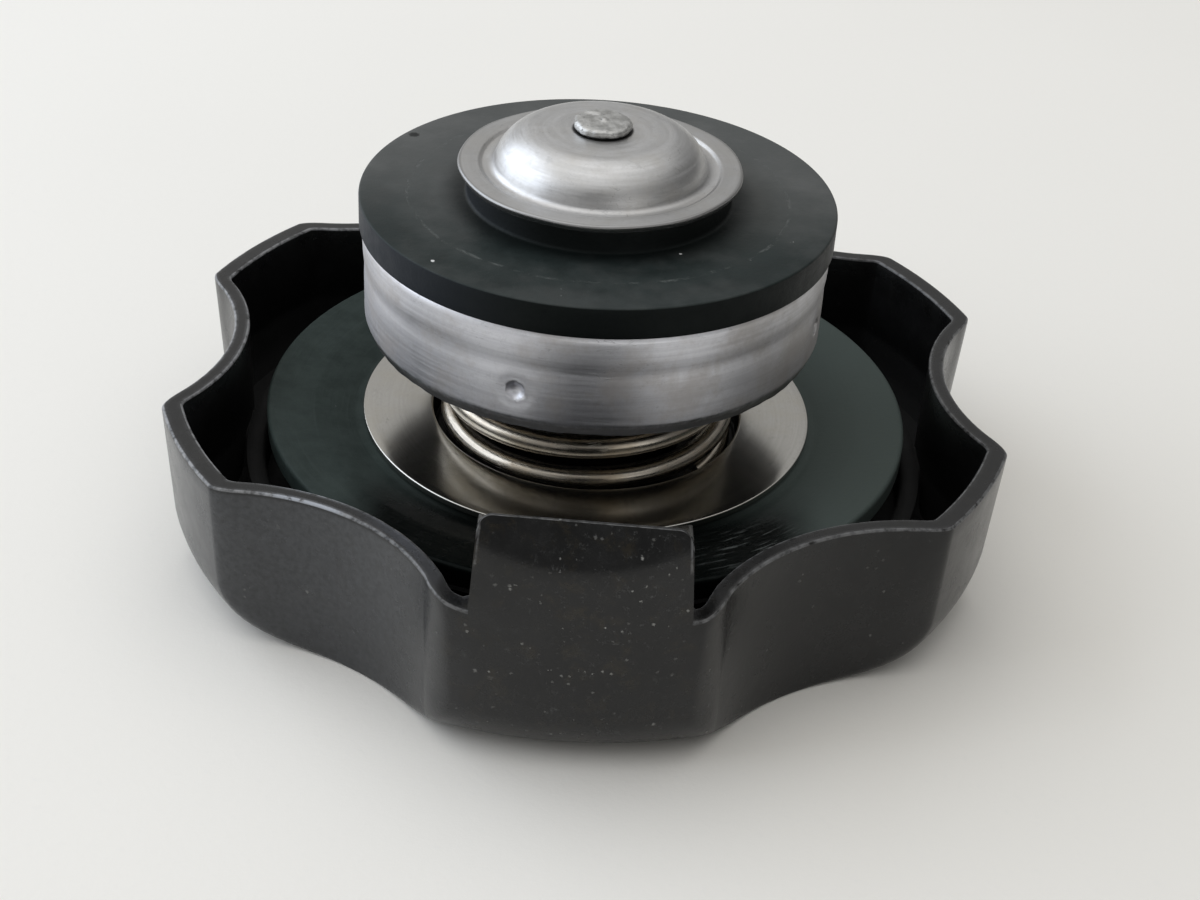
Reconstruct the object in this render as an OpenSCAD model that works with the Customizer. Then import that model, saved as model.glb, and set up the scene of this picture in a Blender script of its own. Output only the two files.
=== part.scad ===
// Bayonet radiator cap, lying on its handle with the valve side up.
// The handle's face is on z = 0, the valve axis is Z, and the bayonet tabs point along Y.

/* [Handle] */
// Radius over the lobes at the rim
handle_r = 30; // [29:0.1:33]
// Height from the face to the rim
handle_h = 12.3; // [11:0.1:14]
// Thickness of the outer wall
wall = 1.4; // [1:0.1:1.8]
// Thickness of the face
floor_t = 2.6; // [2:0.1:3]
// Rounding between the face and the lobes
edge_round = 4.5; // [3:0.1:5.5]
// Draft of the lobes, in degrees
draft = 2.5; // [0.5:0.5:4]
// Half angle of the four plain lobes, in degrees
side_lobe_half = 11; // [9:0.5:13]
// Half angle of the two lobes that carry the tabs, in degrees
tab_lobe_half = 16; // [14:0.5:18]
// Depth of the scallops between the lobes
scallop_depth = 4.5; // [3:0.05:4.6]
// Rounding of the lobes' corners
corner_r = 1.8; // [0.6:0.1:2]
// Thickness of the ring wall round the diaphragm
ring_t = 1.3; // [1:0.1:1.4]
// Height of the ring wall above the inner floor
ring_h = 4.4; // [3:0.1:5]
// Radius of the boss that takes the centre rivet
boss_r = 7.5; // [6:0.1:10]
// Height of the boss above the inner floor
boss_h = 2.35; // [2:0.05:2.6]
// Number of ribs between the boss and the ring wall
rib_count = 6; // [4:1:12]
// Thickness of those ribs
rib_t = 1.2; // [0.8:0.1:2]
// How far the ribs run into the boss and the ring wall
rib_bite = 0.5; // [0.2:0.1:0.9]

/* [Bayonet tabs] */
// Width of a tab
tab_w = 12.5; // [10:0.1:13]
// Height of a tab above the rim
tab_rise = 5.9; // [5:0.1:7]
// Wall of a tab
tab_t = 1.8; // [1.5:0.1:2.4]
// Height above the rim at which the outer face starts to lean inwards
lean_start = 3.75; // [3.2:0.05:4.2]
// Lean of the upper part, in degrees
lean = 38; // [25:1:42]
// Thickness of the tip
tip_t = 0.4; // [0.3:0.1:0.9]
// Rounding of the tab's upper corners
tab_corner = 0.9; // [0.5:0.1:2]
// Reach of the lug in from the tab's wall
lug_reach = 3.3; // [2:0.1:3.8]
// Height of the lug's underside above the rim
lug_rise = 1.6; // [1.5:0.1:2.6]
// Height of the lug's nose
lug_nose = 1.3; // [0.8:0.1:1.6]
// Width of the relief cut on each side of a tab
relief_w = 0.9; // [0.5:0.1:1.2]
// Depth of that cut below the rim
relief_depth = 0.7; // [0.3:0.1:1.5]

/* [Neck seal] */
// Distance from the gasket's edge out to the lobes
seal_margin = 7.2; // [7:0.1:8.5]
// Thickness of the neck gasket
neck_gasket_t = 1.6; // [1.2:0.1:1.9]
// Rise of the gasket from the plate to its outer edge
dish_rise = 1.2; // [0.6:0.1:1.8]
// Thickness of the diaphragm
diaphragm_t = 0.5; // [0.3:0.1:0.7]
// Set-back of the diaphragm from the gasket's edge
diaphragm_inset = 0.5; // [0.3:0.1:1.5]
// Play of the seal round the plate's recess
seal_play = 0.2; // [0.1:0.05:0.4]

/* [Spring plate] */
// Radius of the plate
plate_r = 16.05; // [15:0.05:17]
// Thickness of the plate
plate_t = 0.6; // [0.4:0.1:0.8]
// Radius of the recess that holds the spring
recess_r = 11.6; // [11.2:0.1:12.2]
// Depth of the recess
recess_depth = 2.5; // [2.2:0.1:3]

/* [Centre rivet and thimble] */
// Radius of the rivet's shank
shank_r = 2; // [1.5:0.1:2.3]
// Depth of the shank in the handle
shank_depth = 3.5; // [2.5:0.1:3.8]
// Radius of the shoulder on which the valve side turns
shoulder_r = 2.6; // [2.5:0.1:3.2]
// Radius of the rivet's head
rivet_head_r = 3.4; // [3:0.1:4]
// Height of the rivet's head
rivet_head_h = 1; // [0.6:0.1:1.4]
// Radius of the washer under the head
washer_r = 4.7; // [4.2:0.1:5.5]
// Thickness of that washer
washer_t = 0.5; // [0.4:0.1:0.8]
// Outer radius of the thimble
thimble_r = 6.8; // [6.5:0.1:7.2]
// Thickness of the thimble
thimble_t = 0.6; // [0.4:0.1:0.7]
// Reach of the thimble's flared mouth
flare_reach = 1.3; // [0.8:0.1:1.6]

/* [Pressure spring] */
// Diameter of the wire
wire_d = 1.6; // [1.4:0.1:1.8]
// Radius of the coil at the middle of the wire
coil_r = 9.7; // [9.5:0.1:9.9]
// Height of the spring as fitted
spring_h = 13; // [12:0.1:14]
// Number of turns
spring_turns = 4.9; // [4:0.1:5.2]
// Rise of each end turn
end_pitch = 1.85; // [1.8:0.05:2]
// Angle of the lower cut end, in degrees
spring_start = -38; // [-180:1:180]

/* [Pressure valve] */
// Outer radius of the valve cup
cup_r = 15.85; // [15.5:0.05:16.2]
// Thickness of the valve cup
cup_t = 0.6; // [0.4:0.1:0.7]
// Radius of the rolled band round the cup's top
band_round = 1.2; // [0.9:0.05:1.3]
// How far the band stands out from the cup's wall
band_out = 0.25; // [0.15:0.05:0.5]
// Rounding of the hollow below the band
band_fillet = 1.6; // [0.8:0.1:1.8]
// Rounding of the cup's lower edge
cup_edge = 0.4; // [0.2:0.05:0.5]
// Length of the cup's skirt below the inner cup
skirt = 3.4; // [2.8:0.1:3.6]
// Radius of the hole in the cup's top
cup_hole_r = 4.45; // [4:0.05:4.7]
// Number of dimples that hold the inner cup
dimple_count = 4; // [3:1:6]
// Angle of the first dimple, in degrees
dimple_angle = -107; // [-180:1:180]
// Radius of the dimples' hollow
dimple_r = 0.9; // [0.7:0.1:1]
// Depth of the dimples
dimple_depth = 0.7; // [0.5:0.1:0.8]
// Metal left behind a dimple's hollow
dimple_wall = 0.5; // [0.4:0.05:0.6]
// Height of the inner cup
inner_cup_h = 3.75; // [3.6:0.05:4.5]
// Thickness of the inner cup
inner_cup_t = 0.6; // [0.4:0.1:0.7]
// Overhang of the pressure gasket beyond the cup's wall
gasket_over = 0.3; // [0.2:0.05:0.8]
// Thickness of the pressure gasket
gasket_t = 1.75; // [1.4:0.05:2.2]
// Rounding of the pressure gasket's edges
gasket_round = 0.3; // [0.1:0.05:0.5]
// Height of the seat bead on the gasket
bead_h = 1.7; // [1.2:0.1:2]
// Middle radius of the seat bead
bead_r = 8.3; // [8:0.1:8.8]
// Width of the seat bead at its foot
bead_w = 1.3; // [1:0.1:1.6]
// Width of the seat bead at its top
bead_top_w = 0.6; // [0.3:0.1:0.9]
// Radius of the lip that holds the gasket in the cup
lip_r = 5.5; // [5:0.1:5.7]
// Thickness of that lip
lip_t = 0.8; // [0.5:0.1:0.9]
// Radius of the passage through the gasket
passage_r = 2.6; // [2:0.1:2.8]

/* [Vacuum valve] */
// Radius of the vacuum plate
vac_plate_r = 9.6; // [9.5:0.1:10.5]
// Thickness of the vacuum plate
vac_plate_t = 0.5; // [0.3:0.05:0.6]
// Outer radius of the dome at its foot
dome_r = 7.3; // [6.8:0.1:7.5]
// Height of the dome above the flange
dome_h = 2.4; // [2:0.1:2.6]
// Rounding of the dome's shoulder
dome_round = 3.2; // [2.7:0.1:3.4]
// Radius at which the flange steps down to the dome
step_r = 8.1; // [7.8:0.1:8.3]
// Depth of that step
step_depth = 0.2; // [0.1:0.05:0.25]
// Radius of the stem
stem_r = 1.25; // [1:0.05:1.5]
// Radius of the stem's peened head
stem_head_r = 1.85; // [1.7:0.05:2.4]
// Height of the stem's peened head
stem_head_h = 0.8; // [0.5:0.1:1]
// Radius of the retainer on the stem
retainer_r = 5.1; // [4.8:0.1:5.5]
// Thickness of the retainer
retainer_t = 0.6; // [0.4:0.1:0.8]
// Wire of the vacuum spring
vac_wire_d = 0.6; // [0.4:0.1:0.7]
// Radius of the vacuum spring at the middle of its wire
vac_coil_r = 4; // [3.8:0.1:4.3]
// Height of the vacuum spring as fitted
vac_spring_h = 4.5; // [4:0.1:5]
// Number of turns of the vacuum spring
vac_turns = 4.5; // [4:0.25:5]

/* [Fits] */
// Clearance between faces that seat on each other
seat_gap = 0.05; // [0.02:0.01:0.1]
// Radial clearance of the running fit on the rivet's shoulder
run_gap = 0.05; // [0.02:0.01:0.1]
// Clearance round the inner cup
inner_gap = 0.2; // [0.1:0.05:0.3]
// Clearance of pieces that slide in one another
slide_gap = 0.3; // [0.2:0.05:0.4]
// Clearance of the diaphragm and gasket inside the ring wall
ring_gap = 0.25; // [0.2:0.05:0.5]

/* [Hidden] */
$fn = 96;
eps = 0.01;
cut_over = 1;
dimple_facets = 48;
spring_steps = 28;
spring_sides = 12;
vac_spring_steps = 20;
vac_spring_sides = 8;

// Levels of the stack on the axis, from the boss up to the stem's head
boss_z = floor_t + boss_h;
diaphragm_z = boss_z + seat_gap;
plate_z = diaphragm_z + diaphragm_t;
thimble_z = plate_z + plate_t;
shoulder_z = thimble_z + thimble_t + 2 * seat_gap;
flange_z = thimble_z + recess_depth;
gasket_seat_z = flange_z - plate_t;
inner_cup_z = thimble_z + spring_h;
flare_z = inner_cup_z + inner_cup_t + 2 * seat_gap;
cup_top_z = inner_cup_z + inner_cup_h + seat_gap + cup_t;
gasket_top_z = cup_top_z + gasket_t;
lip_z = cup_top_z - cup_t - lip_t;
bead_z = gasket_top_z + bead_h;
vac_flange_z = bead_z + seat_gap + vac_plate_t;
dome_z = vac_flange_z + dome_h;
retainer_z = lip_z - vac_spring_h - retainer_t;

// Handle outline: equal scallops fill what the lobes leave of a circle just outside the drafted wall
outline_r = handle_r + 2 * eps;
scallop_half = (360 - 8 * side_lobe_half - 4 * tab_lobe_half) / 12;
scallop_pitch = 2 * (side_lobe_half + scallop_half);
scallop_angles = [for (side = [0, 180]) for (k = [-1:1]) side + k * scallop_pitch];
scallop_inner = handle_r - scallop_depth;
scallop_sag = handle_r * cos(scallop_half) - scallop_inner;
scallop_r = (pow(handle_r * sin(scallop_half), 2) + scallop_sag * scallop_sag) / (2 * scallop_sag);
scallop_x = scallop_inner + scallop_r;
corner_at = outline_r - corner_r;
corner_phi = acos((corner_at * corner_at + scallop_x * scallop_x - pow(scallop_r + corner_r, 2))
                  / (2 * corner_at * scallop_x));
corner_cut = 4 * corner_r;
round_x = handle_r - (handle_h - edge_round + edge_round * sin(draft)) * tan(draft)
          - edge_round * cos(draft);

// Neck seal
neck_gasket_r = handle_r - seal_margin;
ring_in = neck_gasket_r + ring_gap;
dish_slope = dish_rise / (neck_gasket_r - plate_r);
diaphragm_r = neck_gasket_r - diaphragm_inset;
diaphragm_foot_r = recess_r + plate_t + seal_play;
diaphragm_top_z = gasket_seat_z - neck_gasket_t - seat_gap;
diaphragm_step = diaphragm_top_z - plate_z;
neck_hole_r = diaphragm_foot_r + diaphragm_step + seal_play;

// Pressure gasket, and dimples whose hollow has its centre outside the cup's wall
gasket_r = cup_r + gasket_over;
dimple_at = cup_r + dimple_r - dimple_depth;
dimple_z = inner_cup_z - dimple_r;

// Unit vector in the plane at an angle
function dir(a) = [cos(a), sin(a)];

// Ring of rectangular section about Z
module ring(r_in, r_out, z_low, z_high) {
    rotate_extrude()
        translate([r_in, z_low])
            square([r_out - r_in, z_high - z_low]);
}

// Rectangle from the axis outwards with its outer corners rounded
module rounded_half(r, z_low, z_high, round_r) {
    translate([0, z_low])
        square([r - round_r, z_high - z_low]);
    translate([0, z_low + round_r])
        square([r, z_high - z_low - 2 * round_r]);
    for (z = [z_low + round_r, z_high - round_r])
        translate([r - round_r, z])
            circle(r = round_r);
}

// Half section of a plug with one rounded shoulder at its top
module shoulder_half(r, z_low, z_high, round_r) {
    intersection() {
        translate([0, z_low])
            square([r, z_high - z_low]);
        union() {
            translate([0, z_low - round_r])
                square([r, z_high - z_low]);
            translate([0, z_low - round_r])
                square([r - round_r, z_high - z_low + round_r]);
            translate([r - round_r, z_high - round_r])
                circle(r = round_r);
        }
    }
}

// Lobed outline, moved in by an inset
module lobed_disc(inset) {
    difference() {
        circle(r = outline_r - inset);
        for (a = scallop_angles)
            translate(scallop_x * dir(a))
                circle(r = scallop_r + inset);
    }
}

// Lobed outline with its outer corners rounded
module rounded_lobes() {
    difference() {
        lobed_disc(0);
        for (a = scallop_angles)
            for (side = [-1, 1])
                corner_wedge(a, a + side * corner_phi);
    }
    for (a = scallop_angles)
        for (side = [-1, 1])
            translate(corner_at * dir(a + side * corner_phi))
                circle(r = corner_r);
}

// Cut outside the two points where a corner's rounding meets its neighbours
module corner_wedge(scallop_a, corner_a) {
    centre = corner_at * dir(corner_a);
    to_scallop = (scallop_x * dir(scallop_a) - centre) / (scallop_r + corner_r);
    out = corner_cut * dir(corner_a);
    in = corner_cut * to_scallop;
    polygon([centre, centre + out, centre + out + in, centre + in]);
}

// Half section of the handle's lobes: drafted wall, rounded edge and flat face
module lobe_section(inset, z_low, z_high) {
    round_r = edge_round - inset;
    tangent = [round_x + round_r * cos(draft), edge_round - round_r * sin(draft)];
    top_r = handle_r + (z_high - handle_h) * tan(draft) - inset / cos(draft);
    difference() {
        union() {
            square([round_x, z_high]);
            translate([round_x, edge_round])
                circle(r = round_r);
            polygon([[0, tangent[1]], tangent, [top_r, z_high], [0, z_high]]);
        }
        translate([0, -handle_h])
            square([2 * handle_r, handle_h + z_low]);
    }
}

// Half section of a tab with its lug and inner root, before the outer face is cut to its lean
module tab_section() {
    top = handle_h + tab_rise;
    root_r = handle_r - tab_t;
    nose_r = root_r - lug_reach;
    lug_z = handle_h + lug_rise;
    tip_r = handle_r - (tab_rise - lean_start) * tan(lean) - tip_t;
    polygon([[handle_r, handle_h], [handle_r, top], [tip_r, top],
             [nose_r, lug_z + lug_nose], [nose_r, lug_z], [root_r, lug_z],
             [root_r, floor_t], [handle_r - wall, floor_t]]);
}

// Front view of a tab, with rounded upper corners
module tab_face() {
    top = handle_h + tab_rise;
    translate([-tab_w / 2, 0])
        square([tab_w, top - tab_corner]);
    translate([-tab_w / 2 + tab_corner, 0])
        square([tab_w - 2 * tab_corner, top]);
    for (side = [-1, 1])
        translate([side * (tab_w / 2 - tab_corner), top - tab_corner])
            circle(r = tab_corner);
}

// One bayonet tab on the lobe at -Y
module tab() {
    reach = handle_r + eps;
    difference() {
        intersection() {
            rotate_extrude()
                tab_section();
            rotate([90, 0, 0])
                linear_extrude(height = reach)
                    tab_face();
        }
        translate([0, -handle_r, handle_h + lean_start])
            rotate([-lean, 0, 0])
                translate([-tab_w, -tab_w, 0])
                    cube([2 * tab_w, tab_w, tab_w]);
    }
}

// Relief cuts in the rim on both sides of the tab at -Y
module tab_reliefs() {
    for (x = [-tab_w / 2 - relief_w, tab_w / 2])
        translate([x, -handle_r - cut_over, handle_h - relief_depth])
            cube([relief_w, handle_r / 2, handle_h]);
}

// Moulded handle: lobed shell, ring wall, boss, ribs and two tabs
module handle() {
    color("#1d1e1f")
        difference() {
            union() {
                lobed_shell();
                ring(ring_in, ring_in + ring_t, floor_t - eps, floor_t + ring_h);
                translate([0, 0, floor_t - eps])
                    cylinder(r = boss_r, h = boss_h + eps);
                for (k = [0:rib_count - 1])
                    rotate((k + 0.5) * 360 / rib_count)
                        translate([boss_r - rib_bite, -rib_t / 2, floor_t - eps])
                            cube([ring_in - boss_r + 2 * rib_bite, rib_t, boss_h - seat_gap]);
                for (turn = [0, 180])
                    rotate(turn)
                        tab();
            }
            translate([0, 0, boss_z - shank_depth])
                cylinder(r = shank_r, h = shank_depth + cut_over);
        }
}

// Outer shell of the handle: lobed wall and face, with the cuts beside the tabs
module lobed_shell() {
    difference() {
        intersection() {
            linear_extrude(height = handle_h)
                rounded_lobes();
            rotate_extrude()
                lobe_section(0, 0, handle_h);
        }
        intersection() {
            translate([0, 0, floor_t])
                linear_extrude(height = handle_h)
                    lobed_disc(wall);
            rotate_extrude()
                lobe_section(wall, floor_t, handle_h + cut_over);
        }
        for (turn = [0, 180])
            rotate(turn)
                tab_reliefs();
    }
}

// Shouldered rivet pressed into the boss
module centre_rivet() {
    head_z = shoulder_z + washer_t;
    color("#9a9b9d")
        union() {
            translate([0, 0, boss_z - shank_depth])
                cylinder(r = shank_r, h = shank_depth + eps);
            translate([0, 0, boss_z])
                cylinder(r = shoulder_r, h = shoulder_z - boss_z);
            translate([0, 0, shoulder_z - eps])
                cylinder(r = shank_r, h = washer_t + 2 * eps);
            rotate_extrude()
                shoulder_half(rivet_head_r, head_z, head_z + rivet_head_h, rivet_head_h / 2);
        }
}

// Washer between the rivet's shoulder and its head
module rivet_washer() {
    color("#b4b5b6")
        ring(shank_r, washer_r, shoulder_z, shoulder_z + washer_t);
}

// Dished spring disc behind the neck gasket
module diaphragm() {
    bore = shoulder_r + run_gap;
    rim_z = diaphragm_top_z + (diaphragm_r - plate_r) * dish_slope;
    drop = [0, -diaphragm_t];
    top = [[bore, plate_z], [diaphragm_foot_r, plate_z], [diaphragm_foot_r + diaphragm_step, diaphragm_top_z],
           [plate_r, diaphragm_top_z], [diaphragm_r, rim_z]];
    color("#8d8f92")
        rotate_extrude()
            polygon(concat(top, [for (i = [len(top) - 1:-1:0]) top[i] + drop]));
}

// Rubber ring that seals on the filler neck
module neck_gasket() {
    low = gasket_seat_z - neck_gasket_t;
    color("#20272a")
        rotate_extrude()
            polygon([[neck_hole_r, low], [plate_r, low], [neck_gasket_r, low + dish_rise],
                     [neck_gasket_r, gasket_seat_z + dish_rise], [plate_r, gasket_seat_z],
                     [neck_hole_r, gasket_seat_z]]);
}

// Steel plate that clamps the gasket and holds the spring in its recess
module spring_plate() {
    color("#a9a6a0")
        rotate_extrude()
            difference() {
                union() {
                    rounded_half(plate_r, gasket_seat_z, flange_z, plate_t / 2 - eps);
                    translate([0, plate_z])
                        square([recess_r + plate_t, gasket_seat_z - plate_z + eps]);
                }
                translate([0, thimble_z])
                    square([recess_r, recess_depth + cut_over]);
                square([shoulder_r + run_gap, flange_z]);
            }
}

// Tube inside the spring whose flared mouth holds the valve back
module guide_thimble() {
    bore = thimble_r - thimble_t;
    color("#b0aea8")
        rotate_extrude() {
            translate([shoulder_r + run_gap, thimble_z])
                square([thimble_r - shoulder_r - run_gap, thimble_t]);
            translate([bore, thimble_z])
                square([thimble_t, flare_z + thimble_t - thimble_z]);
            translate([bore, flare_z])
                square([thimble_t + flare_reach, thimble_t]);
        }
}

// Height of the wire's middle above its start after a number of turns
function coil_rise(t, turns, end, middle) =
    t < 1 ? end * t
    : t < turns - 1 ? end + middle * (t - 1)
    : end + middle * (turns - 2) + end * (t - turns + 1);

// Points of the wire's section at one place along a coil
function wire_ring(a, z, r, wire_r, sides) =
    [for (s = [0:sides - 1])
        let (b = 360 * s / sides)
            [(r + wire_r * cos(b)) * cos(a), (r + wire_r * cos(b)) * sin(a), z + wire_r * sin(b)]];

// Coil spring with close end turns, standing on z_low
module coil_spring(r, wire, z_low, height, turns, end, start, per_turn, sides) {
    rings = ceil(turns * per_turn);
    travel = height - wire - 2 * seat_gap;
    middle = (travel - 2 * end) / (turns - 2);
    points = [for (i = [0:rings])
                 let (t = turns * i / rings)
                     each wire_ring(start + 360 * t, z_low + seat_gap + wire / 2
                                    + coil_rise(t, turns, end, middle), r, wire / 2, sides)];
    quads = [for (i = [0:rings - 1])
                 for (s = [0:sides - 1])
                     let (n = (s + 1) % sides)
                         [i * sides + s, i * sides + n, (i + 1) * sides + n, (i + 1) * sides + s]];
    first = [for (s = [sides - 1:-1:0]) s];
    last = [for (s = [0:sides - 1]) rings * sides + s];
    polyhedron(points, concat(quads, [first, last]));
}

// Main spring between the plate and the inner cup
module pressure_spring() {
    color("#a39a8c")
        coil_spring(coil_r, wire_d, thimble_z, spring_h, spring_turns, end_pitch, spring_start,
                    spring_steps, spring_sides);
}

// Half section of the cup's outside: wall, hollow and rolled band, moved in by an inset
module cup_half(inset, z_low) {
    r = cup_r - inset;
    band = [cup_r + band_out - band_round, cup_top_z - band_round];
    hollow_x = cup_r + band_fillet;
    reach = band_round + band_fillet;
    hollow = [hollow_x, band[1] - sqrt(reach * reach - pow(hollow_x - band[0], 2))];
    touch = band + (band_round - inset) * (hollow - band) / reach;
    translate([0, z_low])
        square([r, hollow[1] - z_low]);
    translate([0, z_low])
        square([band[0], cup_top_z - inset - z_low]);
    translate(band)
        circle(r = band_round - inset);
    difference() {
        polygon([[band[0], hollow[1]], [r, hollow[1]], touch, band]);
        translate(hollow)
            circle(r = band_fillet + inset);
    }
}

// Drawn cup of the pressure valve with its ring of dimples
module valve_cup() {
    low = inner_cup_z - skirt;
    color("#c3c4c6")
        difference() {
            union() {
                rotate_extrude()
                    difference() {
                        union() {
                            cup_half(0, low + cup_edge);
                            rounded_half(cup_r, low, low + 4 * cup_edge, cup_edge);
                        }
                        cup_half(cup_t, low - cut_over);
                        square([cup_hole_r, cup_top_z + cut_over]);
                    }
                intersection() {
                    dimples(dimple_r + dimple_wall);
                    ring(cup_r / 2, cup_r - cup_t / 2, low, inner_cup_z);
                }
            }
            dimples(dimple_r);
        }
}

// Spheres at the dimples' places
module dimples(r) {
    for (k = [0:dimple_count - 1])
        rotate(dimple_angle + k * 360 / dimple_count)
            translate([dimple_at, 0, dimple_z])
                sphere(r = r, $fn = dimple_facets);
}

// Cup inside the valve cup that takes the spring's thrust
module inner_cup() {
    r = cup_r - cup_t - inner_gap;
    color("#b2b3b5")
        difference() {
            ring(thimble_r + slide_gap, r, inner_cup_z, inner_cup_z + inner_cup_h);
            ring(0, r - inner_cup_t, inner_cup_z + inner_cup_t, inner_cup_z + inner_cup_h + cut_over);
        }
}

// Rubber disc of the pressure valve, with the vacuum seat's bead and the lip that holds it
module pressure_gasket() {
    color("#1c2224")
        rotate_extrude()
            difference() {
                union() {
                    rounded_half(gasket_r, cup_top_z, gasket_top_z, gasket_round);
                    translate([0, lip_z])
                        square([cup_hole_r, gasket_t]);
                    translate([0, lip_z])
                        square([lip_r, lip_t]);
                    translate([bead_r, gasket_top_z])
                        polygon([[-bead_w / 2, -eps], [bead_w / 2, -eps], [bead_top_w / 2, bead_h],
                                 [-bead_top_w / 2, bead_h]]);
                }
                square([passage_r, gasket_top_z + cut_over]);
            }
}

// Domed plate that closes the vacuum passage
module vacuum_plate() {
    low = vac_flange_z - vac_plate_t;
    color("#c9c9cb")
        rotate_extrude()
            difference() {
                union() {
                    rounded_half(vac_plate_r, low, vac_flange_z, vac_plate_t / 2 - eps);
                    shoulder_half(dome_r, low, dome_z, dome_round);
                }
                shoulder_half(dome_r - vac_plate_t, 0, dome_z - vac_plate_t, dome_round - vac_plate_t);
                square([stem_r, dome_z + cut_over]);
                difference() {
                    translate([0, vac_flange_z - step_depth])
                        square([step_r, dome_h]);
                    shoulder_half(dome_r, 0, dome_z, dome_round);
                }
            }
}

// Stem of the vacuum valve, peened over the dome and over the retainer
module vacuum_stem() {
    low = retainer_z - stem_head_h;
    color("#b7b7b9")
        union() {
            translate([0, 0, low])
                cylinder(r = stem_r, h = dome_z - low + eps);
            rotate_extrude()
                shoulder_half(stem_head_r, dome_z, dome_z + stem_head_h, stem_head_h / 2);
            translate([0, 0, low])
                cylinder(r = stem_head_r, h = stem_head_h);
        }
}

// Light spring that holds the vacuum plate on its seat
module vacuum_spring() {
    color("#a8a6a2")
        coil_spring(vac_coil_r, vac_wire_d, lip_z - vac_spring_h, vac_spring_h, vac_turns,
                    vac_wire_d + 2 * seat_gap, 0, vac_spring_steps, vac_spring_sides);
}

// Washer on the stem that the light spring pushes on
module vacuum_retainer() {
    color("#b4b5b6")
        ring(stem_r, retainer_r, retainer_z, retainer_z + retainer_t);
}

handle();
centre_rivet();
rivet_washer();
diaphragm();
neck_gasket();
spring_plate();
guide_thimble();
pressure_spring();
valve_cup();
inner_cup();
pressure_gasket();
vacuum_plate();
vacuum_stem();
vacuum_spring();
vacuum_retainer();
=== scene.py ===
"""Looks of the radiator cap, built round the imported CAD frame. Lengths are in millimetres up to the mesh."""
import math

import bmesh
import bpy
import numpy as np
from mathutils import Matrix, Vector


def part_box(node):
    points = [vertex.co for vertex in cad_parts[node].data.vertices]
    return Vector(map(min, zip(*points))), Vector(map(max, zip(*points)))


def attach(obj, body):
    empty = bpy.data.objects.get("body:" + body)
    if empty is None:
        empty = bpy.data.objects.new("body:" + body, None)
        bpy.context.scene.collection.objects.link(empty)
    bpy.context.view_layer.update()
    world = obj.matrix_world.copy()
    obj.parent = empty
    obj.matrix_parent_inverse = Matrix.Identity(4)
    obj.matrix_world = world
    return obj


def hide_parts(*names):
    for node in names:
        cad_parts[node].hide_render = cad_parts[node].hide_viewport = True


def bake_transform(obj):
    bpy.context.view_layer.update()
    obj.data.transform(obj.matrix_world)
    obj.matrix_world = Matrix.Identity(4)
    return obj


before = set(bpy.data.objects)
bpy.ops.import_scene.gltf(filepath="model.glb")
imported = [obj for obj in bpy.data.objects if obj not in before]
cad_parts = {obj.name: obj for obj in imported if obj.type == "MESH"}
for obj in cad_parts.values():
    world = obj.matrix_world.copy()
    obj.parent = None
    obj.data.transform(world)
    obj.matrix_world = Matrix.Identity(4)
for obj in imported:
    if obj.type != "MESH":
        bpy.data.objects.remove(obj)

MM = 0.001
TAU = 2 * math.pi
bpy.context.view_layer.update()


# Frame: sizes and levels that the pieces take from the CAD nodes

def levels_of(node):
    """Lowest and highest level of a CAD node."""
    low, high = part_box(node)
    return low.z / MM, high.z / MM


def radius_of(node):
    """Half of a CAD node's extent along Y."""
    low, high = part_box(node)
    return (high.y - low.y) / 2 / MM


HANDLE_R = radius_of("handle")
NECK_R = radius_of("neck_gasket")
PLATE_R = radius_of("spring_plate")
SEAL_R = radius_of("pressure_gasket")
VAC_R = radius_of("vacuum_plate")
TAB_TOP = levels_of("handle")[1]
NECK_TOP = levels_of("neck_gasket")[1]
PLATE_FOOT, PLATE_TOP = levels_of("spring_plate")
SPRING_FOOT, SPRING_TOP = levels_of("pressure_spring")
LIGHT_FOOT, LIGHT_TOP = levels_of("vacuum_spring")
CUP_FOOT, CUP_TOP = levels_of("valve_cup")
SEAL_FOOT, BEAD_TOP = levels_of("pressure_gasket")
VAC_FOOT, VAC_TOP = levels_of("vacuum_plate")
STEM_FOOT, STEM_TOP = levels_of("vacuum_stem")
TAB_RISE = 5.9
RIM_Z = TAB_TOP - TAB_RISE
LIP_T = 0.8
CUP_T = 0.6
SEAL_T = 1.75
SEAL_TOP = SEAL_FOOT + LIP_T + CUP_T + SEAL_T


# Shader nodes: a short way to write a node tree

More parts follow.
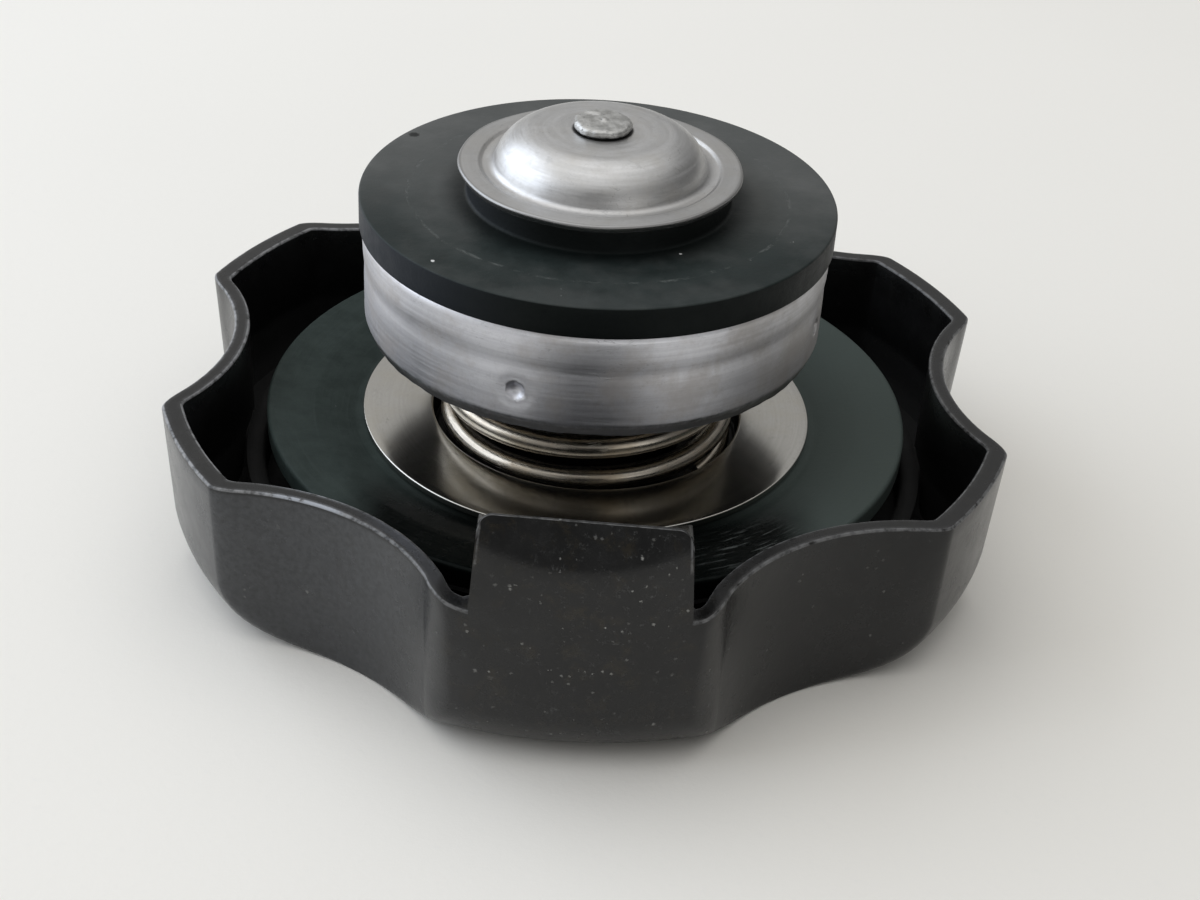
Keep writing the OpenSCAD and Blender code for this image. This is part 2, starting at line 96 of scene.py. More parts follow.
class Tree:
    """Node tree of a material or of the world, with texture coordinates in millimetres."""

    def __init__(self, owner):
        owner.use_nodes = True
        self.owner = owner
        self.nodes = owner.node_tree.nodes
        self.links = owner.node_tree.links
        self.color = None
        self.mm = None
        self.split = None
        self.about = None

    def add(self, kind, inputs=(), **settings):
        """Adds a node; inputs maps sockets to values or to other nodes' outputs."""
        node = self.nodes.new("ShaderNode" + kind)
        for key, value in settings.items():
            setattr(node, key, value)
        for key, value in dict(inputs).items():
            self.put(node.inputs[key], value)
        return node

    def put(self, socket, value):
        """Links a socket to an output, or sets its own value."""
        if isinstance(value, bpy.types.NodeSocket):
            self.links.new(value, socket)
        elif isinstance(value, tuple) and len(value) == 3 and socket.type == "RGBA":
            socket.default_value = (*value, 1)
        else:
            socket.default_value = value

    def place(self):
        """Object coordinates in millimetres."""
        if self.mm is None:
            where = self.add("TexCoord").outputs["Object"]
            self.mm = self.add("VectorMath", {0: where, "Scale": 1 / MM}, operation="SCALE").outputs[0]
        return self.mm

    def math(self, operation, a, b=0.0, c=0.0):
        return self.add("Math", {0: a, 1: b, 2: c}, operation=operation).outputs[0]

    def times(self, *values):
        result = values[0]
        for value in values[1:]:
            result = self.math("MULTIPLY", result, value)
        return result

    def plus(self, a, b):
        return self.math("ADD", a, b)

    def minus(self, a, b):
        return self.math("SUBTRACT", a, b)

    def larger(self, a, b):
        return self.math("MAXIMUM", a, b)

    def apart(self, a, b):
        """Difference of two values, without its sign."""
        return self.math("ABSOLUTE", self.minus(a, b))

    def away(self, point):
        """Distance from a point."""
        return self.add("VectorMath", {0: self.place(), 1: point}, operation="DISTANCE").outputs["Value"]

    def attribute(self, name):
        """Value that the mesh holds at each vertex."""
        return self.add("Attribute", attribute_name=name).outputs["Fac"]

    def axes(self):
        """X, Y and height."""
        if self.split is None:
            self.split = tuple(self.add("SeparateXYZ", {0: self.place()}).outputs)
        return self.split

    def polar(self):
        """Angle, radius and height about the valve axis."""
        if self.about is None:
            x, y, height = self.axes()
            angle = self.math("ARCTAN2", y, x)
            flat = self.vector(x, y, 0.0)
            radius = self.add("VectorMath", {0: flat}, operation="LENGTH").outputs["Value"]
            self.about = (angle, radius, height)
        return self.about

    def around(self, turn, out, up=0.0):
        """Angle, radius and height, each scaled: noise on this runs in rings about the valve axis."""
        angle, radius, height = self.polar()
        return self.vector(self.times(angle, turn), self.times(radius, out), self.times(height, up))

    def vector(self, x, y, z):
        return self.add("CombineXYZ", {0: x, 1: y, 2: z}).outputs[0]

    def noise(self, scale, detail=2.0, vector=None, rough=0.5, warp=0.0):
        """Noise from 0 to 1; scale is in features per millimetre."""
        inputs = {"Vector": vector or self.place(), "Scale": scale, "Detail": detail,
                  "Roughness": rough, "Distortion": warp}
        return self.add("TexNoise", inputs).outputs[0]

    def ramp(self, value, low, high, out_low=0.0, out_high=1.0):
        """Smooth step from low to high."""
        inputs = {"Value": value, "From Min": low, "From Max": high, "To Min": out_low, "To Max": out_high}
        return self.add("MapRange", inputs, interpolation_type="SMOOTHSTEP").outputs[0]

    def mix(self, factor, a, b):
        """Colour a where the factor is 0 and b where it is 1."""
        node = self.add("Mix", data_type="RGBA")
        self.put(node.inputs["Factor"], factor)
        self.put(node.inputs[6], a)
        self.put(node.inputs[7], b)
        return node.outputs[2]

    def coat(self, color, *factors):
        """Lays a colour over the one so far, by the product of the factors."""
        self.color = self.mix(self.times(*factors), self.color, color)

    def specks(self, cells, size, share):
        """Sparse uneven specks: cells per millimetre, size in cells, share of cells that hold one."""
        wobble = {"Vector": self.place(), "Scale": cells * 4.5, "Detail": 2.0}
        jitter = self.add("TexNoise", wobble).outputs["Color"]
        jitter = self.add("VectorMath", {0: jitter, "Scale": 0.42 / cells}, operation="SCALE").outputs[0]
        where = self.add("VectorMath", {0: self.place(), 1: jitter}, operation="ADD").outputs[0]
        cell = self.add("TexVoronoi", {"Vector": where, "Scale": cells})
        pick = self.add("SeparateColor", {0: cell.outputs["Color"]}).outputs
        reach = self.ramp(pick[1], 0.0, 1.0, size * 0.35, size * 1.25)
        spot = self.ramp(self.math("DIVIDE", cell.outputs["Distance"], reach), 1.0, 0.55)
        return self.times(spot, self.ramp(pick[0], 1 - share, 1 - share + 0.02))

    def bump(self, height, depth, normal=None):
        """Bump of a height from 0 to 1, with its depth in millimetres."""
        inputs = {"Height": height, "Strength": 1.0, "Distance": depth * MM}
        if normal:
            inputs["Normal"] = normal
        return self.add("Bump", inputs).outputs[0]

    def finish(self, roughness, normal=None, metallic=0.0, specular=0.5, tint=(1, 1, 1)):
        """Sets the shader's inputs and gives back the material."""
        settings = {"Base Color": self.color, "Roughness": roughness, "Metallic": metallic,
                    "Specular IOR Level": specular, "Specular Tint": tint}
        if normal:
            settings["Normal"] = normal
        for key, value in settings.items():
            self.put(self.nodes["Principled BSDF"].inputs[key], value)
        return self.owner


# Materials: colours are linear, and places and distances are in millimetres

# Place of the painted highlight on the rim's worn edge
PAINTED_GLINT_PLACE = (-17.5, -20.4, RIM_Z)
DUST_HEART = (2.6, -29.6, RIM_Z + 2.0)
GASKET_FOLD = (11.4, -17.6, NECK_TOP)
SEAT_MARK_R = 12.9
# Spots on the pressure gasket: X, Y, size and grey tone
SEAL_SPOTS = ((-10.2, -11.2, 0.15, 0.7), (5.4, -8.3, 0.11, 0.6), (-13.3, 7.8, 0.4, 0.008))


def plastic_dust(t, front):
    """Specks and lint on the handle, thickest in the middle of its front."""
    below_rim = t.ramp(t.axes()[2], RIM_Z + 1, RIM_Z - 2.5)
    patch = t.ramp(t.noise(0.22, 3), 0.42, 0.62)
    flock = t.ramp(t.noise(0.55, 2), 0.44, 0.6)
    heart = t.ramp(t.away(DUST_HEART), 5.5, 2.0, 0, 0.8)
    crowd = t.plus(t.times(front, 0.4), t.times(patch, below_rim, 0.3))
    small = t.times(t.specks(2.1, 0.25, 0.42), t.ramp(t.plus(t.times(crowd, flock), heart), 0.05, 0.7))
    crowd = t.plus(crowd, heart)
    large = t.times(t.specks(0.9, 0.15, 0.34), t.ramp(crowd, 0.12, 0.75))
    lint = t.times(t.ramp(t.noise(1.9, 6, rough=0.85), 0.57, 0.68), t.ramp(crowd, 0.1, 0.9))
    return t.larger(small, large), lint


def black_plastic():
    """Satin moulded plastic: mottled, worn pale along its edges, smudged and dusty at the front, with painted
    light and shade.
    """
    t = Tree(bpy.data.materials.new("black_plastic"))
    x, y, height = t.axes()
    wear = t.attribute("wear")
    pocket = t.attribute("pocket")
    front = t.times(t.ramp(y, -22, -28), t.ramp(t.math("ABSOLUTE", x), 11, 4))
    mottle = t.noise(0.35, 5, rough=0.65)
    t.color = t.mix(t.ramp(mottle, 0.35, 0.7), (0.0055, 0.0056, 0.0057), (0.0095, 0.0096, 0.0098))
    # Painted sheen: the left walls below the rim are painted paler, in a hazy pattern, where the window light
    # falls.
    left = t.times(t.ramp(x, -5, -14), t.ramp(y, -6, -14), t.ramp(height, RIM_Z - 0.1, RIM_Z - 0.5))
    haze_and_sheen = t.ramp(t.noise(2.5, 5, rough=0.6), 0.25, 0.75, 0.4, 0.75)
    t.coat((0.074, 0.078, 0.084), left, haze_and_sheen)
    smudge = t.ramp(t.noise(0.55, 6, rough=0.7, warp=0.4), 0.5, 0.68)
    smudge = t.times(smudge, t.ramp(front, 0, 1, 0.12, 0.9))
    t.coat((0.028, 0.022, 0.012), smudge, 0.5)
    # Painted light: the walls are painted paler towards the bottom.
    t.coat((0.03, 0.03, 0.03), t.ramp(height, 10, 2, 0.0, 0.35))
    film = t.ramp(t.noise(2.2, 6, rough=0.75), 0.52, 0.75)
    t.coat((0.04, 0.041, 0.041), film, 0.25)
    # Pale wear on the tight edges, made stronger towards the left by painted sheen.
    rub_and_sheen = t.times(wear, t.ramp(t.noise(1.6, 5, rough=0.7), 0.3, 0.62), t.ramp(x, -9, -20, 0.5, 1.0))
    t.coat((0.27, 0.273, 0.28), rub_and_sheen)
    # Painted highlight: a bluish glint painted on the worn rim edge at the front left.
    painted_glint = t.times(wear, t.ramp(t.away(PAINTED_GLINT_PLACE), 3.6, 1.5), t.ramp(t.noise(2.4, 4), 0.36, 0.5))
    t.coat((0.36, 0.38, 0.42), painted_glint)
    dust, lint = plastic_dust(t, front)
    t.coat((0.1, 0.103, 0.103), lint, 0.6)
    t.coat((0.36, 0.36, 0.345), dust, t.ramp(t.noise(0.9, 1), 0.35, 0.65, 0.2, 0.8))
    # Painted shade: deep in the pockets the plastic is painted near black.
    t.coat((0.001, 0.001, 0.001), pocket, 0.9)
    roughness = t.ramp(mottle, 0.3, 0.75, 0.22, 0.3)
    roughness = t.plus(roughness, t.times(t.larger(t.larger(dust, rub_and_sheen), pocket), 0.2))
    roughness = t.plus(roughness, t.times(pocket, t.ramp(height, RING_TOP + 1, RING_TOP, 0, 0.3)))
    grain = t.bump(t.noise(5.5, 4, rough=0.6), 0.012)
    grain = t.bump(t.noise(0.5, 3), 0.03, grain)
    grain = t.bump(dust, 0.05, grain)
    return t.finish(roughness, grain, specular=0.36)


def neck_rubber():
    """Matte rubber with a green cast: painted near black with shade at the front, paler at the right, with
    painted highlight streaks in a fold.
    """
    t = Tree(bpy.data.materials.new("neck_rubber"))
    x, y, _ = t.axes()
    mottle = t.noise(0.6, 5, rough=0.65)
    shade = t.times(t.ramp(y, -8, -15), t.ramp(t.math("ABSOLUTE", x), 16.5, 12.5))
    t.color = t.mix(t.ramp(mottle, 0.3, 0.7), (0.026, 0.0355, 0.033), (0.038, 0.05, 0.0465))
    rings = t.noise(1.0, 3, t.around(1.4, 3.2))
    t.coat((0.05, 0.063, 0.059), t.ramp(rings, 0.55, 0.75), 0.3)
    dust = t.specks(1.3, 0.1, 0.035)
    t.coat((0.3, 0.31, 0.3), dust, 0.6)
    scuff = t.times(t.ramp(t.noise(0.3, 2), 0.55, 0.7), t.ramp(t.noise(4.0, 6, rough=0.8), 0.62, 0.72))
    t.coat((0.09, 0.1, 0.097), scuff, 0.3)
    t.coat((0.078, 0.096, 0.09), t.ramp(x, 2, 18, 0.0, 0.75))
    # Painted shade: the front of the ring, in the shade of the valve, is painted near black.
    t.coat((0.0008, 0.0012, 0.0011), shade, 0.96)
    roughness = t.minus(t.ramp(mottle, 0.3, 0.7, 0.42, 0.5), t.times(shade, 0.2))
    fold = t.ramp(t.away(GASKET_FOLD), 5.0, 2.0)
    streak = t.noise(1.0, 4, t.around(7.0, 3.6), 0.6)
    # Painted highlight: pale streaks painted in the fold, where its ripples catch the light.
    t.coat((0.17, 0.185, 0.18), t.ramp(streak, 0.54, 0.66), fold, 0.5)
    waves = t.noise(1.0, 4, t.around(10.0, 2.6), 0.6, 0.6)
    ripple = t.bump(t.noise(2.2, 5, rough=0.7), 0.025)
    ripple = t.bump(rings, 0.02, ripple)
    ripple = t.bump(t.times(waves, fold), 0.5, ripple)
    return t.finish(roughness, ripple, specular=0.05, tint=(0.86, 1.0, 0.96))


def valve_rubber():
    """Matte rubber with the broken pale ring that the seat has pressed into it, painted dark in shadow round
    its bead.
    """
    t = Tree(bpy.data.materials.new("valve_rubber"))
    x, y, height = t.axes()
    radius = t.polar()[1]
    mottle = t.noise(0.7, 5, rough=0.65)
    t.color = t.mix(t.ramp(mottle, 0.3, 0.7), (0.0105, 0.0152, 0.0148), (0.0165, 0.023, 0.0225))
    swing = t.times(t.minus(t.noise(1.0, 3, t.around(2.6, 0.5)), 0.5), 0.7)
    off = t.apart(t.plus(radius, swing), SEAT_MARK_R)
    broken = t.ramp(t.noise(1.0, 5, t.around(9.0, 1.2), 0.75), 0.48, 0.66)
    seat = t.times(t.ramp(off, 0.2, 0.04), broken)
    band = t.ramp(off, 1.5, 0.3)
    t.coat((0.03, 0.038, 0.037), band, 0.25)
    t.coat((0.16, 0.17, 0.165), seat, 0.45)
    # A faint haze, and painted sheen that makes the top paler towards the back.
    haze_and_sheen = t.ramp(t.noise(0.16, 4, rough=0.6), 0.4, 0.7)
    haze_and_sheen = t.plus(t.times(haze_and_sheen, 0.25), t.times(t.ramp(y, -9, 5), 0.6))
    t.coat((0.115, 0.117, 0.115), haze_and_sheen)
    # Painted shadow: the top is painted dark round the bead, under the vacuum plate's flange.
    t.coat((0.003, 0.0045, 0.0044), t.ramp(radius, 11.2, 9.0, 0.0, 0.85))
    # Painted shade: the sides are painted darker than the top, and painted light makes them paler and bluer on
    # the left.
    side = t.mix(t.ramp(x, -3, -15), (0.0012, 0.0019, 0.002), (0.016, 0.019, 0.026))
    t.color = t.mix(t.ramp(t.apart(height, SEAL_TOP), 0.12, 0.03), side, t.color)
    for spot_x, spot_y, size, tone in SEAL_SPOTS:
        away = t.plus(t.away((spot_x, spot_y, SEAL_TOP)), t.times(t.noise(5.0, 3), size))
        t.coat((tone, tone, tone), t.ramp(away, size * 1.6, size * 1.2, 0, 0.9))
    dust = t.larger(t.specks(0.45, 0.04, 0.06), t.specks(1.6, 0.08, 0.015))
    t.coat((0.5, 0.51, 0.5), dust)
    roughness = t.ramp(mottle, 0.3, 0.7, 0.44, 0.54)
    skin = t.bump(t.noise(3.0, 5, rough=0.7), 0.022)
    skin = t.bump(t.times(seat, -1.0), 0.03, skin)
    return t.finish(roughness, skin, specular=0.14, tint=(0.88, 1.0, 0.99))


def darker(color, share):
    """Share of a colour."""
    return tuple(c * share for c in color)


def foot_and_side_shade(t, cloud, dark_z):
    """Painted shade: a ragged dark foot below a level, darkest at the sides, and warm painted shade on the
    right side.
    """
    x, _, height = t.axes()
    ragged = t.plus(height, t.times(t.minus(t.noise(1.8, 4, rough=0.7), 0.5), 0.9))
    sides = t.ramp(t.math("ABSOLUTE", x), 2, 11, 0.45, 0.85)
    t.coat((0.09, 0.088, 0.09), t.ramp(ragged, dark_z + 0.35, dark_z - 0.25), sides)
    # Warm painted shade on the right side, away from the window light.
    t.coat((0.2, 0.19, 0.175), t.ramp(t.plus(x, t.times(cloud, 6)), 8, 19, 0, 0.6))


def turned_metal(name, dark, light, rough, streak, depth, tint=None, grain=0.065,
                 shade_within=0.0, lip_r=0.0, dark_z=0.0):
    """Metal with fine rings about the valve axis, scratches and dull patches.

    Where these are given, it has painted shade inside the inner shade radius, is dull outside lip_r, and has
    painted shade below dark_z and on its right side.
    """
    t = Tree(bpy.data.materials.new(name))
    radius = t.polar()[1]
    rings = t.noise(1.0, 4, t.around(1.1, streak, streak), 0.6)
    fine = t.noise(1.0, 3, t.around(2.4, streak * 3.5, streak * 3.5))
    cloud = t.noise(0.3, 5, rough=0.65)
    t.color = t.mix(t.ramp(rings, 0.3, 0.7), dark, light)
    t.coat(darker(dark, 0.7), t.ramp(t.noise(3.5, 6, rough=0.8), 0.45, 0.75, 0.0, 0.3))
    if tint:
        t.coat(tint, t.ramp(cloud, 0.42, 0.68), 0.55)
    nick = t.noise(1.0, 2, t.around(7.0, 2.0, 2.6), warp=0.8)
    scratch = t.ramp(t.apart(nick, 0.5), 0.012, 0.0)
    scratch = t.times(scratch, t.ramp(t.noise(0.5, 2), 0.54, 0.64))
    t.coat(darker(dark, 0.45), scratch, 0.45)
    grey = t.times(t.ramp(t.noise(1.4, 5, rough=0.7), 0.56, 0.72), 0.28)
    t.coat(darker(dark, 0.62), grey)
    roughness = t.ramp(fine, 0.25, 0.75, rough - grain, rough + grain)
    roughness = t.plus(roughness, t.ramp(cloud, 0.3, 0.75, -grain / 2, grain))
    if shade_within:
        # Painted shade: inside this radius the metal is painted dark, in the plate's recess and round the
        # rivet head.
        inner_shade = t.ramp(radius, shade_within, shade_within - 0.2)
        t.coat((0.012, 0.011, 0.01), inner_shade, 0.94)
        roughness = t.plus(roughness, t.times(inner_shade, 0.25))
    if lip_r:
        t.coat(darker(dark, 0.45), t.ramp(radius, lip_r, lip_r + 0.35, 0.0, 0.25))
        t.coat(darker(dark, 0.4), t.ramp(radius, VAC_R - 0.3, VAC_R - 0.18, 0.0, 0.5))
    if dark_z:
        foot_and_side_shade(t, cloud, dark_z)
    brushed = t.bump(rings, depth)
    brushed = t.bump(fine, depth * 0.5, brushed)
    brushed = t.bump(t.times(scratch, -1.0), depth, brushed)
    return t.finish(roughness, brushed, metallic=1.0)


def peened_metal():
    """Hammered rivet metal: dented, with dark pits."""
    t = Tree(bpy.data.materials.new("peened_metal"))
    dents = t.noise(1.7, 4, rough=0.6)
    pits = t.ramp(t.noise(4.5, 5, rough=0.7), 0.58, 0.7)
    t.color = t.mix(t.ramp(dents, 0.3, 0.7), (0.36, 0.36, 0.35), (0.56, 0.56, 0.55))
    t.coat((0.16, 0.15, 0.14), pits, 0.6)
    roughness = t.ramp(dents, 0.3, 0.7, 0.3, 0.44)
    normal = t.bump(dents, 0.06)
    normal = t.bump(t.times(pits, -1.0), 0.03, normal)
    return t.finish(roughness, normal, metallic=1.0)


def paper():
    """Pale table top with a faint fibre and a few grey flecks."""
    t = Tree(bpy.data.materials.new("paper"))
    cloud = t.noise(0.012, 3)
    fibre = t.noise(1.3, 5, rough=0.7)
    t.color = t.mix(t.ramp(cloud, 0.3, 0.7), (0.855, 0.837, 0.795), (0.87, 0.852, 0.81))
    t.coat((0.78, 0.776, 0.76), t.ramp(fibre, 0.55, 0.8), 0.25)
    fleck = t.specks(0.045, 0.022, 0.3)
    t.coat((0.42, 0.42, 0.41), fleck, 0.5)
    return t.finish(t.ramp(fibre, 0.3, 0.7, 0.75, 0.85), t.bump(fibre, 0.02), specular=0.2)


# Meshes

def make_object(name, vertices, faces, material, sharp_deg=40):
    """Object from vertices in millimetres, shaded smooth except at sharp edges."""
    mesh = bpy.data.meshes.new(name)
    mesh.from_pydata([tuple(float(c) * MM for c in v) for v in vertices], [], faces)
    return add_mesh(name, mesh, material, sharp_deg)


def add_mesh(name, mesh, material, sharp_deg=40):
    """Turns the faces outwards, shades the mesh and puts it in the scene."""
    bm = bmesh.new()
    bm.from_mesh(mesh)
    bmesh.ops.recalc_face_normals(bm, faces=bm.faces)
    bm.to_mesh(mesh)
    bm.free()
    mesh.polygons.foreach_set("use_smooth", [True] * len(mesh.polygons))
    mesh.set_sharp_from_angle(angle=math.radians(sharp_deg))
    mesh.materials.append(material)
    thing = bpy.data.objects.new(name, mesh)
    bpy.context.scene.collection.objects.link(thing)
    return thing


def rounded(points, steps=4, closed=True):
    """Profile with its corners rounded; points are (x, z, radius), and each corner gives steps + 1 points."""
    result = []
    count = len(points)
    for i, (x, z, radius) in enumerate(points):
        here = np.array((x, z), float)
        if radius <= 0 or not closed and i in (0, count - 1):
            result.append(here)
            continue
        before = np.array(points[i - 1][:2]) - here
        after = np.array(points[(i + 1) % count][:2]) - here
        before_len, after_len = np.linalg.norm(before), np.linalg.norm(after)
        before, after = before / before_len, after / after_len
        if before @ after < -0.9999:
            spread = 0.2 * min(before_len, after_len)
            result += [here + (before * (steps - k) + after * k) / steps * spread for k in range(steps + 1)]
            continue
        half = math.acos(max(-1.0, min(1.0, float(before @ after)))) / 2
        reach = min(radius / math.tan(half), 0.49 * before_len, 0.49 * after_len)
        radius = reach * math.tan(half)
        middle = here + (before + after) / np.linalg.norm(before + after) * radius / math.sin(half)
        start, stop = here + before * reach - middle, here + after * reach - middle
        sweep = math.pi - 2 * half
        for k in range(steps + 1):
            a = sweep * k / steps
            result.append(middle + (start * math.sin(sweep - a) + stop * math.sin(a)) / math.sin(sweep))
    return result


def densified(profile, step, closed=True):
    """Profile with its long runs cut into steps."""
    profile = [np.array(p, float) for p in profile]
    result = []
    pairs = list(zip(profile, profile[1:] + profile[:1])) if closed else list(zip(profile, profile[1:]))
    for a, b in pairs:
        pieces = max(1, math.ceil(np.linalg.norm(b - a) / step))
        result += [a + (b - a) * k / pieces for k in range(pieces)]
    return result if closed else result + [profile[-1]]


def even_angles(count):
    return [TAU * k / count for k in range(count)]


def grid_faces(rows, columns, rows_closed=True, columns_closed=True):
    """Quads between points that are listed column by column."""
    faces = []
    for i in range(columns if columns_closed else columns - 1):
        n = (i + 1) % columns
        for j in range(rows if rows_closed else rows - 1):
            k = (j + 1) % rows
            faces.append((i * rows + j, n * rows + j, n * rows + k, i * rows + k))
    return faces


def turned_points(profile, angles, shape):
    """Profile turned to each angle; shape, if given, moves a point by its angle, radius and height."""
    points = []
    for a in angles:
        for r, z in profile:
            if shape:
                r, z = shape(a, r, z)
            points.append((r * math.cos(a), r * math.sin(a), z))
    return points


def lathe(name, profile, angles, material, shape=None, sharp_deg=40):
    """Closed ring of revolution."""
    faces = grid_faces(len(profile), len(angles))
    return make_object(name, turned_points(profile, angles, shape), faces, material, sharp_deg)


def lathe_solid(name, profile, angles, material, shape=None, sharp_deg=40):
    """Solid of revolution; the profile's first and last points are on the axis."""
    inner = profile[1:-1]
    rows, columns = len(inner), len(angles)
    vertices = turned_points(inner, angles, shape) + [(0, 0, profile[0][1]), (0, 0, profile[-1][1])]
    low, high = rows * columns, rows * columns + 1
    faces = grid_faces(rows, columns, rows_closed=False)
    for i in range(columns):
        n = (i + 1) % columns
        faces += [(low, n * rows, i * rows), (high, i * rows + rows - 1, n * rows + rows - 1)]
    return make_object(name, vertices, faces, material, sharp_deg)


def coil(name, radius, wire, foot, height, turns, end_pitch, start_deg, per_turn, sides, material):
    """Coil spring with close end turns, cut square at both ends."""
    travel = height - wire
    middle = (travel - 2 * end_pitch) / (turns - 2)
    rings = round(turns * per_turn)
    vertices = []
    for i in range(rings + 1):
        t = turns * i / rings
        rise = np.interp(t, [0, 1, turns - 1, turns], [0, end_pitch, travel - end_pitch, travel])
        pitch = end_pitch if t < 1 or t > turns - 1 else middle
        slope = math.atan2(pitch, TAU * radius)
        a = math.radians(start_deg) + TAU * t
        out = np.array((math.cos(a), math.sin(a), 0))
        along = np.array((-math.sin(a), math.cos(a), 0))
        lift = np.array((0, 0, math.cos(slope))) - along * math.sin(slope)
        centre = out * radius + np.array((0, 0, foot + wire / 2 + rise))
        for s in range(sides):
            b = TAU * s / sides
            vertices.append(centre + wire / 2 * (out * math.cos(b) + lift * math.sin(b)))
    faces = grid_faces(sides, rings + 1, columns_closed=False)
    faces += [tuple(range(sides)), tuple(range(rings * sides, (rings + 1) * sides))]
    return make_object(name, vertices, faces, material)


# Handle: a grid of columns round the axis, with the tabs as separate sectors of its rim

WALL = 1.4
SCALLOP_WALL = 1.1
FLOOR_T = 2.6
EDGE_ROUND = 4.5
DRAFT = math.radians(2.5)
DRAFTED_H = RIM_Z - EDGE_ROUND + EDGE_ROUND * math.sin(DRAFT)
ROUND_X = HANDLE_R - DRAFTED_H * math.tan(DRAFT) - EDGE_ROUND * math.cos(DRAFT)
RIM_ROUND = 0.2

# Half angles of the plain lobes and of those with tabs, in degrees; equal scallops fill the rest
SIDE_LOBE = 11.0
TAB_LOBE = 16.0
SCALLOP_HALF = (360 - 8 * SIDE_LOBE - 4 * TAB_LOBE) / 12
SCALLOP_PITCH = 2 * (SIDE_LOBE + SCALLOP_HALF)
SCALLOPS = [math.radians(side + k * SCALLOP_PITCH) for side in (0, 180) for k in (-1, 0, 1)]
SCALLOP_DEPTH = 4.5
SCALLOP_INNER = HANDLE_R - SCALLOP_DEPTH
SCALLOP_CHORD = HANDLE_R * math.sin(math.radians(SCALLOP_HALF))
SCALLOP_SAG = HANDLE_R * math.cos(math.radians(SCALLOP_HALF)) - SCALLOP_INNER
SCALLOP_R = (SCALLOP_CHORD ** 2 + SCALLOP_SAG ** 2) / (2 * SCALLOP_SAG)
SCALLOP_X = SCALLOP_INNER + SCALLOP_R

# How softly the scallops meet the lobes: outside at three levels, and inside
BLEND_LEVELS = (0.5, EDGE_ROUND, RIM_Z - 0.3)
CORNER_BLENDS = (0.8, 2.4, 1.3)
INNER_BLEND = 0.5

# Ring wall, boss with the rivet's hole, and ribs
RING_GAP = 0.25
RING_T = 1.3
RING_H = 3.0
RING_ROUND = 0.2
RING_IN = NECK_R + RING_GAP
RING_OUT = RING_IN + RING_T
RING_TOP = FLOOR_T + RING_H
BOSS_R = 7.5
BOSS_H = 2.35
BOSS_TOP = FLOOR_T + BOSS_H
SHANK_R = 2.0
SHANK_DEPTH = 3.5
SHANK_FOOT = BOSS_TOP - SHANK_DEPTH
RIB_COUNT = 6
RIB_T = 1.2
RIB_H = 2.3
RIB_BITE = 0.5
RIB_SINK = 0.01

# Tabs: half width, shift to the right, thickness, narrowing to the tip and rounding of the upper corners
TAB_X = 6.6
TAB_SHIFT = 0.25
TAB_T = 1.8
TAB_TAPER = 0.4
TAB_CORNER = 0.9
TAB_EDGE = 0.13
TAB_ROOT = HANDLE_R - TAB_T
LEAN_RISE = 2.9
LEAN_Z = RIM_Z + LEAN_RISE
LEAN = math.tan(math.radians(29.2))
CREASE_ROUND = 4.5
TIP_T = 0.16
TIP_FALL = 0.3
TIP_ROUND = 0.06
LUG_REACH = 3.3
LUG_RISE = 1.6
LUG_NOSE = 1.3
LUG_Z = RIM_Z + LUG_RISE
NOSE_R = TAB_ROOT - LUG_REACH
NOSE_TOP = LUG_Z + LUG_NOSE
LOBES_WITH_TABS = (-math.pi / 2, math.pi / 2)
TAB_REACH = 0.5

# The rim dips beside a tab, between these distances from the tab's middle
RIM_DIP = 0.5
DIP_START = 8.9
DIP_END = TAB_X

# Columns of the grid: steps and spans in degrees, and the columns across a tab's rounded corner
COLUMN_STEP = 1.0
CORNER_STEP = 0.25
CORNER_SPAN = 3.2
SMALLEST_STEP = 0.1
CLEAR_OF_EDGE = 0.2
SQUARE_SPAN = (13.8, 19)
TAB_CORNER_COLUMNS = 7
TAB_CORNER_MARGIN = 0.12

# Rows of the grid
FACE_RINGS = (6.0, 12.0, 18.0, 22.5)
FLOOR_RINGS = (18.0, 12.0)
BOSS_RING = 4.5
RING_MIDDLE_Z = 4.0
ROUND_STEPS = 14
ROUND_SWEEP = math.radians(86)
WALL_ROWS = 9
INNER_ROWS = 14
RIM_STEPS = 4

# A pocket is filled up to the ring wall where the scallop leaves less room than this behind it
POCKET_ROOM = (0.12, 0.5)
POCKET_DROP = 0.03
POCKET_GAP = 0.04
THIN = 0.01


def smooth_min(a, b, blend):
    """Smaller of two values, rounded where they meet."""
    h = max(blend - abs(a - b), 0) / blend
    return min(a, b) - h * h * blend / 4


def eased(value, start, stop):
    """Smooth fall from 1 at start to 0 at stop."""
    share = float(np.interp(value, [start, stop], [1, 0]))
    return share * share * (3 - 2 * share)


def wrapped(angle):
    return (angle + math.pi) % TAU - math.pi


def scallop_wall(angle, inset):
    """Radius of the nearest scallop's wall at an angle."""
    reach = SCALLOP_R + inset
    nearest = 2 * HANDLE_R
    for a in SCALLOPS:
        off = SCALLOP_X * math.sin(angle - a)
        if math.cos(angle - a) > 0 and abs(off) < reach:
            nearest = min(nearest, SCALLOP_X * math.cos(angle - a) - math.sqrt(reach ** 2 - off ** 2))
    return nearest


def section(z, inset):
    """Radius of the lobes' wall at a height: rounded below, drafted above."""
    bend = EDGE_ROUND - inset
    if z < EDGE_ROUND - bend * math.sin(DRAFT):
        return ROUND_X + math.sqrt(max(bend ** 2 - (EDGE_ROUND - z) ** 2, 0))
    return HANDLE_R - inset / math.cos(DRAFT) - (RIM_Z - z) * math.tan(DRAFT)


